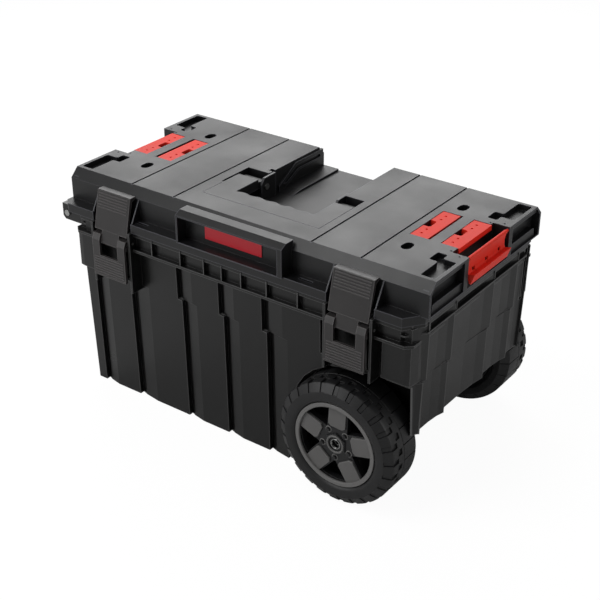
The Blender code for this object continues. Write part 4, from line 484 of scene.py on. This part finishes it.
def make_wheel_faces():
    """What stands on the wheels' faces: spoke pads, lug loops, the rim's lip, and in the hub its
    collar, the dust cap and the bearing's race."""
    pitch = 2 * math.pi / SPOKES
    rings = (("rim_lip_", RIM_LIP, rim_plastic, RIM_STEPS),
             ("hub_collar_", HUB_COLLAR, rim_plastic, HUB_STEPS),
             ("dust_cap_", DUST_CAP, shaded_rim_plastic, HUB_STEPS),
             ("bearing_race_", BEARING_RACE, steel, HUB_STEPS))
    for label, side in (("front", -1), ("rear", 1)):
        pieces = []
        for index in range(SPOKES):
            angle = FIRST_SPOKE + index * pitch
            pieces.append(spoke_pad("spoke_pad_%s_%d" % (label, index + 1), side, angle))
            pieces.append(lug_loop("lug_loop_%s_%d" % (label, index + 1), side, angle + pitch / 2))
        for name, section, material, steps in rings:
            pieces.append(turned_ring(name + label, side, section, material, steps))
        for piece in pieces:
            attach(piece, "wheel_" + label)


def make_tyres():
    """Both tyres, in place of the plain ones."""
    for label, side in (("front", -1), ("rear", 1)):
        piece = surface("tyre_tread_" + label, tyre_grid(side), tyre)
        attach(piece, "wheel_" + label)
        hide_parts("tyre_" + label)


def make_camera():
    """The camera at the photograph's place."""
    back = Vector((math.sin(CAMERA_AZIMUTH) * math.cos(CAMERA_ELEVATION),
                   -math.cos(CAMERA_AZIMUTH) * math.cos(CAMERA_ELEVATION), math.sin(CAMERA_ELEVATION)))
    right = Vector((math.cos(CAMERA_AZIMUTH), math.sin(CAMERA_AZIMUTH), 0))
    up = back.cross(right)
    turned_right = right * math.cos(CAMERA_ROLL) + up * math.sin(CAMERA_ROLL)
    turned_up = up * math.cos(CAMERA_ROLL) - right * math.sin(CAMERA_ROLL)
    data = bpy.data.cameras.new("camera")
    data.lens = CAMERA_LENS
    data.sensor_width = SENSOR
    camera = bpy.data.objects.new("camera", data)
    bpy.context.scene.collection.objects.link(camera)
    turn = Matrix((turned_right, turned_up, back)).transposed().to_4x4()
    camera.matrix_world = Matrix.Translation(CAMERA_PLACE) @ turn
    bpy.context.scene.camera = camera


def seen_directly(tree):
    """1 for what the camera sees itself or through something clear, and 0 for all other light."""
    path = add(tree, "ShaderNodeLightPath")
    return add(tree, "ShaderNodeMath", {"operation": "MAXIMUM"},
               links={0: path.outputs["Is Camera Ray"], 1: path.outputs["Is Transmission Ray"]}).outputs[0]


def make_floor():
    """A plain pale floor that looks white and keeps the toolbox's soft shadow."""
    mesh = bpy.data.meshes.new("floor")
    corners = [(x * FLOOR_REACH, y * FLOOR_REACH, 0) for x, y in ((-1, -1), (1, -1), (1, 1), (-1, 1))]
    mesh.from_pydata(corners, [], [(0, 1, 2, 3)])
    floor = bpy.data.objects.new("floor", mesh)
    bpy.context.scene.collection.objects.link(floor)
    material, tree, shader = bare_material("white_floor")
    shader.inputs["Base Color"].default_value = linear(FLOOR_SHADE)
    shader.inputs["Roughness"].default_value = FLOOR_ROUGHNESS
    glow = add(tree, "ShaderNodeEmission", inputs={"Color": WHITE, "Strength": FLOOR_GLOW})
    share = add(tree, "ShaderNodeMath", {"operation": "MULTIPLY"}, {1: FLOOR_GLOW_SHARE},
                {0: seen_directly(tree)})
    mix = add(tree, "ShaderNodeMixShader",
              links={"Fac": share.outputs[0], 1: shader.outputs[0], 2: glow.outputs[0]})
    tree.links.new(mix.outputs[0], tree.nodes["Material Output"].inputs["Surface"])
    floor.data.materials.append(material)


def make_world():
    """A pale surround that looks white to the camera and lights the toolbox softly."""
    world = bpy.data.worlds.new("studio")
    bpy.context.scene.world = world
    world.use_nodes = True
    tree = world.node_tree
    surround = tree.nodes["Background"]
    surround.inputs["Color"].default_value = WHITE
    surround.inputs["Strength"].default_value = SURROUND
    backdrop = add(tree, "ShaderNodeBackground", inputs={"Color": WHITE, "Strength": BACKDROP})
    mix = add(tree, "ShaderNodeMixShader",
              links={"Fac": seen_directly(tree), 1: surround.outputs[0], 2: backdrop.outputs[0]})
    tree.links.new(mix.outputs[0], tree.nodes["World Output"].inputs["Surface"])


def area_light(name, place, target, size, power):
    """A soft box that faces its target."""
    data = bpy.data.lights.new(name, "AREA")
    data.shape = "RECTANGLE"
    data.size, data.size_y = size
    data.energy = power
    lamp = bpy.data.objects.new(name, data)
    lamp.location = place
    aim = Vector(target) - Vector(place)
    lamp.rotation_mode = "QUATERNION"
    lamp.rotation_quaternion = aim.to_track_quat("-Z", "Y")
    bpy.context.scene.collection.objects.link(lamp)


make_tyres()
make_wheel_faces()
make_camera()
make_floor()
make_world()
for box in SOFT_BOXES:
    area_light(*box)
bpy.context.scene.view_settings.view_transform = "Standard"
